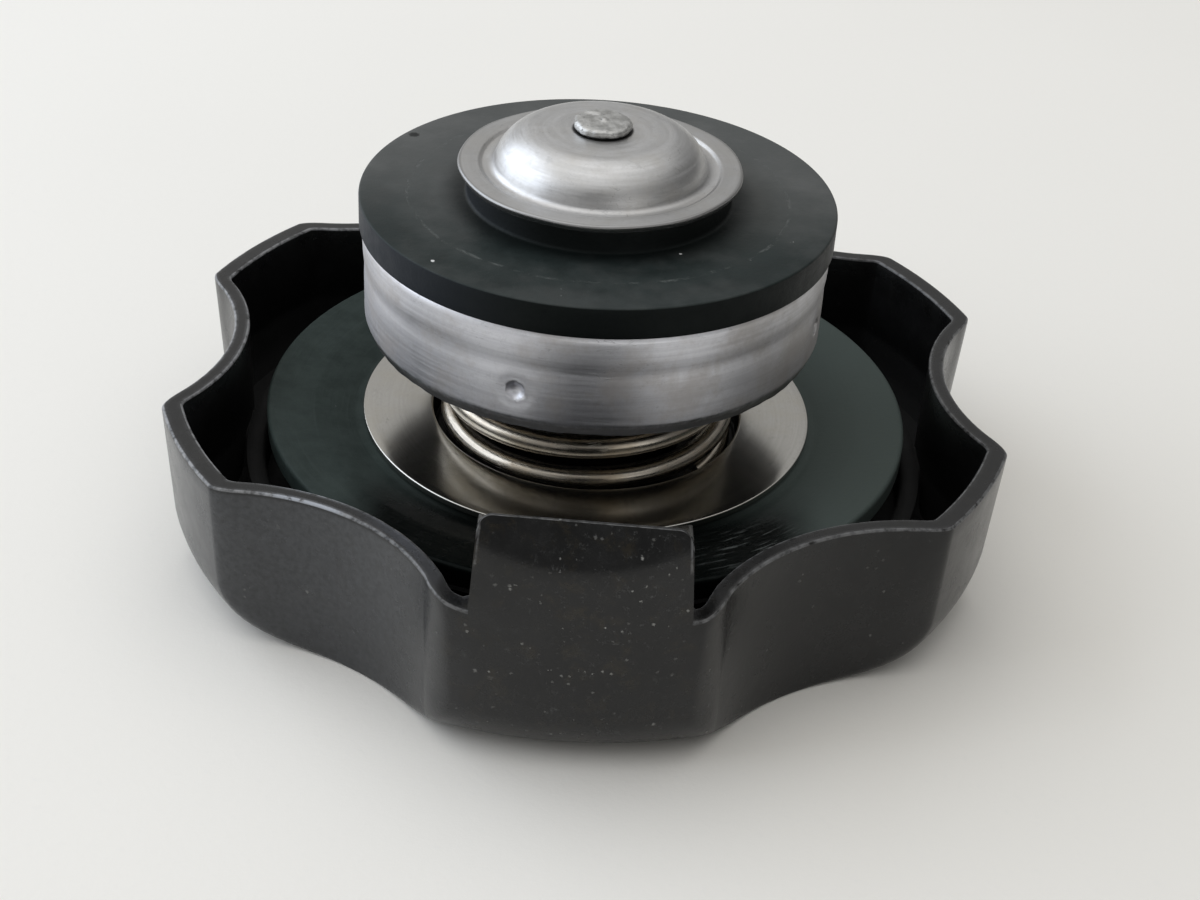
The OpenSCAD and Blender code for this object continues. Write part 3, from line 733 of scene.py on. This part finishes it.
class Column:
    """One column of the handle's grid. Columns by a tab stand side by side, and the others are radial."""

    def __init__(self, angle):
        self.angle = angle
        self.lobe = min(LOBES_WITH_TABS, key=lambda a: abs(wrapped(angle - a)))
        self.off = wrapped(angle - self.lobe)
        self.x = HANDLE_R * math.sin(self.off)
        self.across = self.x - TAB_SHIFT
        self.square = float(np.interp(abs(math.degrees(self.off)), SQUARE_SPAN, [1, 0]))
        near_tab = abs(self.off) < TAB_REACH
        self.on_tab = near_tab and abs(self.across) <= TAB_X + 1e-6
        dip = eased(abs(self.across), DIP_END, DIP_START) if near_tab else 0.0
        self.base = RIM_Z - RIM_ROUND - RIM_DIP * dip
        self.stations = {}

    def angle_at(self, r):
        """Angle of the column's point at a radius."""
        share = self.square * float(np.interp(r, [RING_IN, RING_OUT], [0, 1]))
        square = math.asin(max(-1.0, min(1.0, self.x / max(r, 1e-6)))) if share else 0.0
        return self.lobe + share * square + (1 - share) * self.off

    def outer(self, z):
        blend = float(np.interp(z, BLEND_LEVELS, CORNER_BLENDS))
        return smooth_min(scallop_wall(self.angle, 0), section(z, 0), blend)

    def inner(self, z):
        """Radius of the inner wall; its angle depends on the radius, so it is found in a few rounds."""
        r = section(z, WALL)
        for _ in range(3):
            r = smooth_min(scallop_wall(self.angle_at(r), SCALLOP_WALL), section(z, WALL), INNER_BLEND)
        return min(r, TAB_ROOT) if self.on_tab else r

    def point(self, r, z):
        a = self.angle_at(r)
        return r * math.cos(a), r * math.sin(a), z

    def tab_point(self, y, z):
        """Point of the tab's section, y out from the axis; the tab narrows towards its tip."""
        turn = self.lobe
        x = self.x - self.across * TAB_TAPER / TAB_X * max(z - RIM_Z, 0) / (TAB_TOP - RIM_Z)
        return y * math.cos(turn) - x * math.sin(turn), y * math.sin(turn) + x * math.cos(turn), z


def tab_angle(lobe, across):
    """Angle, in degrees, of a place across a tab."""
    return math.degrees(lobe) + math.degrees(math.asin((TAB_SHIFT + across) / HANDLE_R))


def handle_angles():
    """Angles of the columns: close at the lobes' corners, and exact at the tabs' edges."""
    angles = set(np.round(np.arange(-180, 180, COLUMN_STEP), 3))
    for a in SCALLOPS:
        for side in (-1, 1):
            corner = math.degrees(a) + side * SCALLOP_HALF
            near = np.arange(-CORNER_SPAN, CORNER_SPAN, CORNER_STEP)
            angles |= {round((corner + d + 180) % 360 - 180, 3) for d in near}
    exact = [tab_angle(lobe, x) for lobe in LOBES_WITH_TABS for x in (-TAB_X, TAB_X)]
    corner_x = np.linspace(TAB_X - TAB_CORNER, TAB_X - TAB_CORNER_MARGIN, TAB_CORNER_COLUMNS)
    extra = {tab_angle(lobe, side * x) for lobe in LOBES_WITH_TABS for side in (-1, 1) for x in corner_x}
    loose = [a for a in sorted(angles | extra) if min(abs(a - e) for e in exact) > CLEAR_OF_EDGE]
    merged = sorted(loose + exact)
    kept = [merged[0]]
    for a in merged[1:]:
        if a - kept[-1] > SMALLEST_STEP:
            kept.append(a)
    return [math.radians(a) for a in kept]


def lower_outer(column):
    """Face, rounded edge and outer wall up to the rim's rounding."""
    rows = [(r, 0.0) for r in FACE_RINGS]
    rows.append((min(ROUND_X, column.outer(0.0)), 0.0))
    for k in range(1, ROUND_STEPS + 1):
        z = EDGE_ROUND * (1 - math.cos(ROUND_SWEEP * k / ROUND_STEPS))
        rows.append((column.outer(z), z))
    foot = rows[-1][1]
    rows += [(column.outer(z), z) for z in np.linspace(foot, column.base, WALL_ROWS)[1:]]
    return rows


def lower_inner(column):
    """Inner wall from the rim down to the pocket, ring wall, floor, boss and rivet hole."""
    room = scallop_wall(column.angle, SCALLOP_WALL) - RING_OUT
    pocket = FLOOR_T + (RING_TOP - POCKET_DROP - FLOOR_T) * eased(room, *POCKET_ROOM)
    rows = [(column.inner(z), z) for z in np.linspace(column.base, pocket, INNER_ROWS)]
    wall_foot = rows[-1][0]
    ring_out = min(RING_OUT, wall_foot - POCKET_GAP)
    rows += [((wall_foot + ring_out) / 2, pocket), (ring_out, pocket)]
    rows += [(ring_out, z) for z in np.linspace(pocket, RING_TOP - THIN, 4)[1:]]
    rows += [(ring_out - THIN, RING_TOP), (RING_IN + RING_ROUND, RING_TOP), (RING_IN, RING_TOP - RING_ROUND)]
    rows += [(RING_IN, RING_MIDDLE_Z), (RING_IN, FLOOR_T)]
    rows += [(r, FLOOR_T) for r in (*FLOOR_RINGS, BOSS_R)]
    rows += [(r, BOSS_TOP) for r in (BOSS_R, BOSS_RING, SHANK_R)]
    rows.append((SHANK_R, SHANK_FOOT))
    return rows


def rim_rows(column):
    """Rim between the tabs, with worn round edges; it dips towards a tab."""
    out = column.outer(column.base)
    inside = column.inner(column.base)
    turns = [math.pi / 2 * k / RIM_STEPS for k in range(1, RIM_STEPS + 1)]
    rise = [RIM_ROUND * math.sin(a) for a in turns]
    step = [RIM_ROUND * (1 - math.cos(a)) for a in turns]
    rows = [(out - s, column.base + z) for s, z in zip(step, rise)]
    flat = np.linspace(out - RIM_ROUND, inside + RIM_ROUND, 5)[1:-1]
    rows += [(r, column.base + RIM_ROUND) for r in flat]
    rows += [(inside + s, column.base + z) for s, z in zip(step[::-1], rise[::-1])]
    return [column.point(r, z) for r, z in rows]


def tab_rows(column):
    """Section of a tab at one place along its width: outer face, lean, tip, slope, lug and root."""
    past = max(abs(column.across) - (TAB_X - TAB_CORNER), 0)
    top = TAB_TOP - TAB_CORNER + math.sqrt(max(TAB_CORNER ** 2 - past ** 2, 0))
    top -= TIP_FALL * (column.across + TAB_X) / (2 * TAB_X)

    def chord(r):
        return math.sqrt(r * r - column.x * column.x)

    face = chord(HANDLE_R)
    root = chord(TAB_ROOT)
    nose = chord(NOSE_R)
    crease = min(LEAN_Z + (HANDLE_R - face) / LEAN, top - 0.25)
    tip_out = min(face, HANDLE_R - (top - LEAN_Z) * LEAN)
    tip_in = tip_out - TIP_T - (TAB_TOP - top) * 0.2
    foot = [(chord(column.outer(column.base)), column.base, 0), (face, RIM_Z, 0)]
    foot += [(face, z, 0) for z in np.linspace(RIM_Z, crease - 1.3, 4)[1:]]
    corners = [(face, crease, CREASE_ROUND), (tip_out, top, TIP_ROUND), (tip_in, top, TIP_ROUND),
               (nose, NOSE_TOP, 0.25), (nose, LUG_Z, 0.2), (root, LUG_Z, 0.3),
               (root, (LUG_Z + column.base) / 2, 0), (root, column.base, 0)]
    profile = rounded(foot + corners, 4, closed=False)
    return [column.tab_point(y, z) for y, z in profile[1:-1]]


SECTORS = {"rim": rim_rows, "tab": tab_rows}


def build_handle(material):
    """Handle with the lobed wall, the ring wall, the boss, its ribs and the two tabs."""
    columns = [Column(a) for a in handle_angles()]
    bm = bmesh.new()

    def vertex(point):
        return bm.verts.new(tuple(c * MM for c in point))

    pocket = bm.verts.layers.float.new("pocket")
    low_pole = vertex((0, 0, 0))
    hole_pole = vertex((0, 0, SHANK_FOOT))
    for c in columns:
        c.low = [vertex(c.point(r, z)) for r, z in lower_outer(c)]
        c.deep = [vertex(c.point(r, z)) for r, z in lower_inner(c)]
        # The pocket attribute weighs the painted shade in the pockets: 1 deep down, 0 near the rim.
        for v in c.deep:
            v[pocket] = float(np.interp(v.co.z / MM, [RIM_Z - 4.5, RIM_Z - 0.6], [1, 0]))

    def stations(c, kind):
        if kind not in c.stations:
            c.stations[kind] = [c.low[-1], *[vertex(p) for p in SECTORS[kind](c)], c.deep[0]]
        return c.stations[kind]

    pairs = zip(columns, columns[1:] + columns[:1])
    kinds = ["tab" if a.on_tab and b.on_tab else "rim" for a, b in pairs]
    for i, a in enumerate(columns):
        b = columns[(i + 1) % len(columns)]
        strips = ((a.low, b.low), (stations(a, kinds[i]), stations(b, kinds[i])), (a.deep, b.deep))
        for left, right in strips:
            for j in range(len(left) - 1):
                bm.faces.new((left[j], right[j], right[j + 1], left[j + 1]))
        bm.faces.new((low_pole, b.low[0], a.low[0]))
        bm.faces.new((hole_pole, a.deep[-1], b.deep[-1]))
    edges = []
    for i, c in enumerate(columns):
        if kinds[i - 1] != kinds[i]:
            tab_side = stations(c, "tab")
            cap = bm.faces.new(tab_side + stations(c, "rim")[-2:0:-1])
            upright = set(tab_side[1:-1])
            edges += [e for e in cap.edges if upright.issuperset(e.verts)]
    bmesh.ops.bevel(bm, geom=edges, offset=TAB_EDGE * MM, segments=2, profile=0.5,
                    affect="EDGES", clamp_overlap=False)
    for k in range(RIB_COUNT):
        add_rib(bm, TAU * (k + 0.5) / RIB_COUNT)
    bmesh.ops.recalc_face_normals(bm, faces=bm.faces)
    mesh = bpy.data.meshes.new("handle_moulding")
    bm.to_mesh(mesh)
    bm.free()
    mark_wear(mesh)
    return add_mesh("handle_moulding", mesh, material, 50)


def add_rib(bm, angle):
    """Rib on the floor between the boss and the ring wall."""
    size = Vector((RING_IN - BOSS_R + 2 * RIB_BITE, RIB_T, RIB_H)) * MM
    middle = Vector(((RING_IN + BOSS_R) / 2, 0, FLOOR_T + RIB_H / 2 - RIB_SINK)) * MM
    turn = Matrix.Rotation(angle, 4, "Z") @ Matrix.Translation(middle) @ Matrix.Diagonal((*size, 1))
    bmesh.ops.create_cube(bm, size=1, matrix=turn)


# Bend of an edge, in radians, from which it can wear, and the bends per millimetre of no wear and full wear
WORN_BEND = 0.05
WEAR_SPAN = (1.0, 4.0)
WEAR_Z = RIM_Z - RIM_DIP - 2 * RIM_ROUND


def mark_wear(mesh):
    """Writes how tight each convex edge is, from 0 on open faces to 1 on worn edges."""
    bm = bmesh.new()
    bm.from_mesh(mesh)
    wear = np.zeros(len(bm.verts))
    for edge in bm.edges:
        if len(edge.link_faces) != 2 or min(v.co.z for v in edge.verts) < WEAR_Z * MM:
            continue
        bend = edge.calc_face_angle_signed(0.0)
        if bend > WORN_BEND:
            a, b = (face.calc_center_median() for face in edge.link_faces)
            tight = float(np.interp(bend / max((a - b).length / MM, 0.02), WEAR_SPAN, [0, 1]))
            for v in edge.verts:
                wear[v.index] = max(wear[v.index], tight)
    bm.free()
    mesh.attributes.new("wear", "FLOAT", "POINT").data.foreach_set("value", wear.astype(np.float32))


# Pieces of the valve side: profiles are points of radius, height and corner rounding

NECK_T = 1.6
NECK_HOLE = 13.6
PLATE_T = 0.6
PLATE_BORE = 2.65
RECESS_R = 11.05


def neck_gasket_profile():
    """Ring with a soft dip round the plate and rounded edges."""
    seat = PLATE_TOP - PLATE_T
    return densified(rounded([
        (NECK_HOLE, seat - NECK_T, 0.1), (PLATE_R, seat - NECK_T, 0.8), (NECK_R, NECK_TOP - NECK_T, 0.3),
        (NECK_R, NECK_TOP, 0.28), (PLATE_R + 3.4, NECK_TOP - 0.42, 2.5), (PLATE_R + 0.5, seat, 1.6),
        (NECK_HOLE, seat, 0.1)], 6), 0.5)


def spring_plate_profile():
    """Flange with a crisp edge and a recess close round the spring."""
    floor = PLATE_FOOT + PLATE_T
    under = PLATE_TOP - PLATE_T
    return densified(rounded([
        (PLATE_BORE, PLATE_FOOT, 0.05), (RECESS_R + PLATE_T, PLATE_FOOT, 0.7),
        (RECESS_R + PLATE_T, under, 0.15), (PLATE_R - 0.1, under, 0.15), (PLATE_R, PLATE_TOP, 0.1),
        (RECESS_R, PLATE_TOP, 0.2), (RECESS_R, floor, 0.5), (PLATE_BORE, floor, 0.05)], 5), 0.6)


# Cup: its band stands out by CUP_SWELL in the CAD model and by BAND_SWELL here
CUP_SWELL = 0.25
BAND_SWELL = 0.09
CUP_R = radius_of("valve_cup") - CUP_SWELL
CUP_IN = CUP_R - CUP_T
CUP_HOLE = 4.45
CUP_ROUND = 1.0
CUP_HOLLOW_Z = CUP_TOP - 2.6
CUP_TURN_IN = 0.34
DIMPLE_R = 0.64
DIMPLE_DEPTH = 0.45
DIMPLE_COUNT = 4
DIMPLE_START = -107
DIMPLES = [math.radians(DIMPLE_START + 360 / DIMPLE_COUNT * k) for k in range(DIMPLE_COUNT)]
DIMPLE_Z = SPRING_TOP + 0.05 - DIMPLE_R
DIMPLE_SPAN = 0.1


def cup_wall(z):
    """Radius of the cup's wall: the band above, a soft hollow and the plain wall below."""
    band = 1 / (1 + math.exp(-(z - CUP_HOLLOW_Z) / 0.32))
    return CUP_R + BAND_SWELL * band - 0.03 * math.exp(-((z - CUP_HOLLOW_Z + 0.6) / 0.6) ** 2)


def valve_cup_profile():
    """Drawn cup: swelled band, soft hollow below it, plain wall and a turned-in lower edge."""
    middle = CUP_R + BAND_SWELL - CUP_ROUND
    rim = [(CUP_HOLE, CUP_TOP), (middle, CUP_TOP)]
    for k in range(1, 9):
        a = math.pi / 2 * (1 - k / 8)
        rim.append((middle + CUP_ROUND * math.cos(a), CUP_TOP + CUP_ROUND * (math.sin(a) - 1)))
    levels = np.linspace(CUP_TOP - CUP_ROUND - 0.1, CUP_HOLLOW_Z - 1.4, 30)
    side = [(cup_wall(z), z) for z in levels]
    turned = CUP_R - CUP_TURN_IN
    foot = rounded([(CUP_R, CUP_HOLLOW_Z - 1.6, 0), (CUP_R, CUP_FOOT + 0.85, 0.5),
                    (turned, CUP_FOOT + 0.12, 0.05), (turned, CUP_FOOT, 0.05), (CUP_IN, CUP_FOOT, 0.1),
                    (CUP_IN, CUP_HOLLOW_Z, 0)], 5, closed=False)
    inside = [(CUP_IN, CUP_TOP - 1.6), (CUP_IN - 0.6, CUP_TOP - CUP_T), (CUP_HOLE, CUP_TOP - CUP_T)]
    return densified(rim + side + foot + inside, 0.14)


def cup_shape(angle, r, z):
    """Dimples pressed into the wall, and a lower edge that isn't quite even."""
    if r > CUP_R - 1.0 and z < CUP_TOP - 2:
        for a in DIMPLES:
            s = math.hypot(CUP_R * wrapped(angle - a), z - DIMPLE_Z)
            hollow = math.sqrt(max(DIMPLE_R ** 2 - s * s, 0)) - (DIMPLE_R - DIMPLE_DEPTH)
            rim = 0.05 * math.exp(-((s - 0.8) / 0.45) ** 2)
            r -= max(hollow, 0) + rim
        low = float(np.interp(z, [CUP_FOOT, CUP_FOOT + 0.5], [1, 0]))
        uneven = 0.03 * math.sin(23 * angle) + 0.025 * math.sin(61 * angle + 1) + 0.02 * math.sin(7 * angle)
        z = max(z + low * uneven, CUP_FOOT)
    return r, z


def cup_angles():
    """Even columns, with close ones across each dimple."""
    angles = [a for a in even_angles(240) if min(abs(wrapped(a - d)) for d in DIMPLES) > DIMPLE_SPAN]
    close = np.linspace(-0.98 * DIMPLE_SPAN, 0.98 * DIMPLE_SPAN, 25)
    for d in DIMPLES:
        angles += [wrapped(d + x) % TAU for x in close]
    return sorted(a % TAU for a in angles)


SEAL_HOLE = 2.6
LIP_R = 5.5
BEAD_R = 8.3
BEAD_HALF = 0.65
BEAD_TOP_HALF = 0.3


def pressure_gasket_profile():
    """Disc with crisp edges, the vacuum seat's bead, and the lip that holds it in the cup."""
    seat = SEAL_TOP - SEAL_T
    lip = SEAL_FOOT + LIP_T
    return densified(rounded([
        (SEAL_HOLE, SEAL_FOOT, 0.2), (LIP_R, SEAL_FOOT, 0.25), (LIP_R, lip, 0.1), (CUP_HOLE, lip, 0.05),
        (CUP_HOLE, seat, 0.05), (SEAL_R - 0.75, seat, 0.3), (SEAL_R - 0.2, seat - 0.42, 0.08),
        (SEAL_R, seat - 0.4, 0.1), (SEAL_R, SEAL_TOP, 0.14), (BEAD_R + BEAD_HALF, SEAL_TOP, 0.3),
        (BEAD_R + BEAD_TOP_HALF, BEAD_TOP, 0.12), (BEAD_R - BEAD_TOP_HALF, BEAD_TOP, 0.12),
        (BEAD_R - BEAD_HALF, SEAL_TOP, 0.35), (SEAL_HOLE, SEAL_TOP, 0.3)], 5), 0.5)


VAC_T = 0.5
VAC_EDGE = 0.16
FLANGE_IN = 8.2
GROOVE_R = 7.95
GROOVE_DEPTH = 0.2
CROWN_R = 4.1
DOME_ROUND = 3.2
DOME_FOOT = 0.5
STEM_R = 1.25


def arc(x, z, radius, angles):
    """Points round a centre."""
    return [(x + radius * math.cos(a), z + radius * math.sin(a)) for a in angles]


def vacuum_plate_profile():
    """Stamped plate: flat flange, shallow groove and a round dome with a flattened crown."""
    flange = VAC_FOOT + VAC_T
    groove = flange - GROOVE_DEPTH
    centre = VAC_TOP - DOME_ROUND
    rise = groove + DOME_FOOT - centre
    reach = CROWN_R + math.sqrt((DOME_ROUND + DOME_FOOT) ** 2 - rise ** 2)
    low = math.atan2(rise, reach - CROWN_R)
    dome = arc(reach, groove + DOME_FOOT, DOME_FOOT, np.linspace(math.pi * 1.5, low + math.pi, 7))
    dome += arc(CROWN_R, centre, DOME_ROUND, np.linspace(low, math.pi / 2, 15)[1:])
    dome = [p for p in dome if p[1] < VAC_TOP - 0.02] + [(CROWN_R - 0.6, VAC_TOP - 0.01)]
    edge = rounded([(VAC_R, VAC_FOOT, VAC_EDGE), (VAC_R, flange, VAC_EDGE), (FLANGE_IN, flange, 0.25),
                    (GROOVE_R, groove, 0.2), (reach, groove, 0)], 5, closed=False)
    hole = [(STEM_R, VAC_TOP), (STEM_R, VAC_TOP - VAC_T)]
    inside = arc(CROWN_R, centre, DOME_ROUND - VAC_T, np.linspace(math.pi / 2, 0.05, 10))
    foot = [(CROWN_R + DOME_ROUND - VAC_T, VAC_FOOT), (VAC_R - VAC_EDGE, VAC_FOOT)]
    return densified(edge[1:-1] + dome + hole + inside + foot, 0.35)


def plate_shape(angle, r, z):
    """Slight waves of a stamped rim."""
    wave = float(np.interp(r, [FLANGE_IN, VAC_R], [0, 1]))
    return r - wave * 0.03 * (1 + math.sin(9 * angle + 0.6)), z + wave * 0.015 * math.sin(5 * angle)


STEM_HEAD_R = 1.95
STEM_HEAD_H = 0.8
STEM_FOOT_R = 1.85


def stem_profile():
    """Stem with a peened head above and one below."""
    crown = STEM_TOP - STEM_HEAD_H
    lower = STEM_FOOT + STEM_HEAD_H
    return densified(rounded([
        (0, STEM_FOOT, 0), (STEM_FOOT_R, STEM_FOOT, 0.2), (STEM_FOOT_R, lower, 0.15), (STEM_R, lower, 0.05),
        (STEM_R, crown, 0.02), (STEM_HEAD_R, crown, 0.3), (STEM_HEAD_R, STEM_TOP - 0.06, 0.3),
        (0, STEM_TOP, 0)], 5, closed=False), 0.16, closed=False)


def stem_shape(angle, r, z):
    """Hammered head: uneven outline, low facets on top and a torn flake at the back."""
    if z > STEM_TOP - 0.85 and r > 0.2:
        ragged = 0.022 * math.sin(5 * angle + 0.4) + 0.014 * math.sin(11 * angle + 2)
        ragged += 0.01 * math.sin(23 * angle)
        r += ragged * float(np.interp(r, [1.2, 1.8], [0, 1]))
        if z > STEM_TOP - 0.4:
            x = r * math.cos(angle)
            y = r * math.sin(angle)
            tilt = 0.03 * y - 0.02 * x
            facets = 0.03 * math.sin(2.6 * x + 1.2) * math.sin(2.2 * y - 0.5) - 0.09
            flake = 0.13 * math.exp(-(((x + 0.75) / 0.5) ** 2 + ((y - 1.0) / 0.22) ** 2))
            z = min(z + facets + tilt + flake, STEM_TOP)
    return r, z


# Dressing: each piece gets its material and its place in the frame

PLASTIC = black_plastic()
NECK_RUBBER = neck_rubber()
VALVE_RUBBER = valve_rubber()
PLATE_STEEL = turned_metal("plate_steel", (0.46, 0.45, 0.425), (0.5, 0.49, 0.465), rough=0.19, streak=5.0,
                           depth=0.0003, tint=(0.46, 0.44, 0.39), grain=0.02, shade_within=RECESS_R)
SPRING_STEEL = turned_metal("spring_steel", (0.4, 0.365, 0.315), (0.62, 0.57, 0.49), rough=0.27, streak=3.0,
                            depth=0.006, tint=(0.46, 0.37, 0.25))
CUP_METAL = turned_metal("cup_metal", (0.635, 0.642, 0.685), (0.75, 0.758, 0.8), rough=0.46, streak=4.0,
                         depth=0.0035, tint=(0.5, 0.47, 0.45), dark_z=CUP_FOOT + 0.7)
VACUUM_METAL = turned_metal("vacuum_metal", (0.5, 0.5, 0.5), (0.59, 0.59, 0.595), rough=0.37, streak=2.2,
                            depth=0.002, tint=(0.47, 0.455, 0.43), shade_within=2.15, lip_r=7.9)
HIDDEN_STEEL = turned_metal("hidden_steel", (0.4, 0.4, 0.4), (0.55, 0.55, 0.54), rough=0.34, streak=3.0,
                            depth=0.005)
# Painted shade: near-black steel for the inner cup and guide thimble, which sit in the shade inside the valve.
SHADE_STEEL = turned_metal("shade_steel", (0.035, 0.033, 0.03), (0.07, 0.066, 0.06), rough=0.45, streak=3.0,
                          depth=0.005)
RIVET = peened_metal()

ROUND = even_angles(240)


def dress(piece, node, body):
    """A finer piece stands for a CAD node and moves with its body."""
    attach(piece, body)
    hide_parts(node)


dress(build_handle(PLASTIC), "handle", "handle_body")
dress(lathe("neck_ring", neck_gasket_profile(), ROUND, NECK_RUBBER),
      "neck_gasket", "valve_support")
dress(lathe("recessed_plate", spring_plate_profile(), ROUND, PLATE_STEEL),
      "spring_plate", "valve_support")
dress(lathe("drawn_cup", valve_cup_profile(), cup_angles(), CUP_METAL, cup_shape),
      "valve_cup", "pressure_valve")
dress(lathe("valve_disc", pressure_gasket_profile(), ROUND, VALVE_RUBBER),
      "pressure_gasket", "pressure_valve")
dress(lathe("domed_plate", vacuum_plate_profile(), ROUND, VACUUM_METAL, plate_shape),
      "vacuum_plate", "vacuum_valve")
dress(lathe_solid("peened_stem", stem_profile(), even_angles(96), RIVET, stem_shape, 60),
      "vacuum_stem", "vacuum_valve")

main_coil = coil("main_coil", radius=9.7, wire=1.6, foot=SPRING_FOOT, height=SPRING_TOP - SPRING_FOOT,
                 turns=4.9, end_pitch=1.85, start_deg=-38, per_turn=72, sides=16, material=SPRING_STEEL)
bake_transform(main_coil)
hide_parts("pressure_spring")

light_coil = coil("light_coil", radius=4.0, wire=0.6, foot=LIGHT_FOOT, height=LIGHT_TOP - LIGHT_FOOT,
                  turns=4.5, end_pitch=0.7, start_deg=0, per_turn=48, sides=10, material=SPRING_STEEL)
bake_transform(light_coil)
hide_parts("vacuum_spring")

INSIDE = {"centre_rivet": RIVET, "rivet_washer": HIDDEN_STEEL, "diaphragm": HIDDEN_STEEL,
          "guide_thimble": SHADE_STEEL, "inner_cup": SHADE_STEEL, "vacuum_retainer": HIDDEN_STEEL}
for name, material in INSIDE.items():
    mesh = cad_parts[name].data
    mesh.materials.clear()
    mesh.materials.append(material)


# Stage: table, light and the photograph's camera

TABLE_HALF = 2000

# Room light: strengths, and the directions from which the window, the fill and the viewer's shade come
SKY = (0.18, 0.94)
WINDOW_SIDE = 0.45
WINDOW_TOWARD = (-0.8, 0.45, 0.4)
FRONT_FILL = 0.8
FRONT_TOWARD = (0.25, -1, 0)
VIEWER_SHADE = 0.25
VIEWER_TOWARD = (0, -0.9, 0.43)
BACKDROP = 0.8

# Camera: focal length and width of the photograph in pixels, place about the aim, and angles
FOCAL_PX = 1915.2
IMAGE_W = 1200
SENSOR = 36.0
CAMERA_BACK = 138.176
CAMERA_SIDE = 0.93
CAMERA_UP = -3.943
AIM_Z = 9.2
ELEVATION = math.radians(33.045)
ROLL = math.radians(3.7)
TURN = math.radians(-0.84)


def add_floor():
    half = TABLE_HALF
    corners = [(-half, -half, 0), (half, -half, 0), (half, half, 0), (-half, half, 0)]
    floor = make_object("table", corners, [(0, 1, 2, 3)], paper())


def add_area(name, place, aim, width, depth, watts, color):
    """Soft rectangular lamp, placed and aimed in millimetres."""
    lamp = bpy.data.lights.new(name, "AREA")
    lamp.shape = "RECTANGLE"
    lamp.size = width * MM
    lamp.size_y = depth * MM
    lamp.energy = watts
    lamp.color = color
    thing = bpy.data.objects.new(name, lamp)
    bpy.context.scene.collection.objects.link(thing)
    thing.location = Vector(place) * MM
    thing.rotation_euler = (Vector(aim) - Vector(place)).to_track_quat("-Z", "Y").to_euler()


def add_world():
    """Room light: brightest above and towards the window, with a dark patch where the viewer stands.

    The camera itself sees an even backdrop.
    """
    t = Tree(bpy.data.worlds.new("room"))
    bpy.context.scene.world = t.owner
    where = t.add("TexCoord").outputs["Generated"]

    def toward(direction, low, high, out_low, out_high):
        """Value that changes smoothly towards a direction."""
        dot = t.add("VectorMath", {0: where, 1: Vector(direction).normalized()}, operation="DOT_PRODUCT")
        return t.ramp(dot.outputs["Value"], low, high, out_low, out_high)

    level = t.plus(toward((0, 0, 1), 0.45, 1, *SKY), toward(WINDOW_TOWARD, -0.4, 1, 0, WINDOW_SIDE))
    level = t.plus(level, toward(FRONT_TOWARD, 0.62, 1, 0, FRONT_FILL))
    level = t.times(level, toward(VIEWER_TOWARD, 0.88, 0.98, 1, VIEWER_SHADE))
    by_camera = t.add("LightPath").outputs["Is Camera Ray"]
    seen = t.add("Mix", {"Factor": by_camera, "A": level, "B": BACKDROP}).outputs["Result"]
    back = t.nodes["Background"].inputs
    t.put(back["Color"], (1.0, 0.995, 0.98))
    t.put(back["Strength"], seen)


def add_camera():
    """Camera solved from the photograph's round edges."""
    back = Vector((0, -math.cos(ELEVATION), math.sin(ELEVATION)))
    right = Vector((1, 0, 0))
    up = back.cross(right)
    side = right * math.cos(ROLL) + up * math.sin(ROLL)
    over = up * math.cos(ROLL) - right * math.sin(ROLL)
    place = back * CAMERA_BACK + side * CAMERA_SIDE + over * CAMERA_UP + Vector((0, 0, AIM_Z))
    matrix = Matrix((side, over, back)).transposed().to_4x4()
    matrix.translation = place * MM
    camera = bpy.data.cameras.new("camera")
    camera.sensor_fit = "HORIZONTAL"
    camera.sensor_width = SENSOR
    camera.lens = SENSOR * FOCAL_PX / IMAGE_W
    camera.clip_start = 0.005
    camera.clip_end = 20
    thing = bpy.data.objects.new("camera", camera)
    bpy.context.scene.collection.objects.link(thing)
    thing.matrix_world = Matrix.Rotation(TURN, 4, "Z") @ matrix
    bpy.context.scene.camera = thing


add_floor()
add_world()
add_area("window", place=(-430, 105, 235), aim=(0, 0, 15), width=650, depth=455, watts=1.75,
         color=(0.8, 0.88, 1.0))
add_camera()
bpy.context.scene.view_settings.view_transform = "Standard"
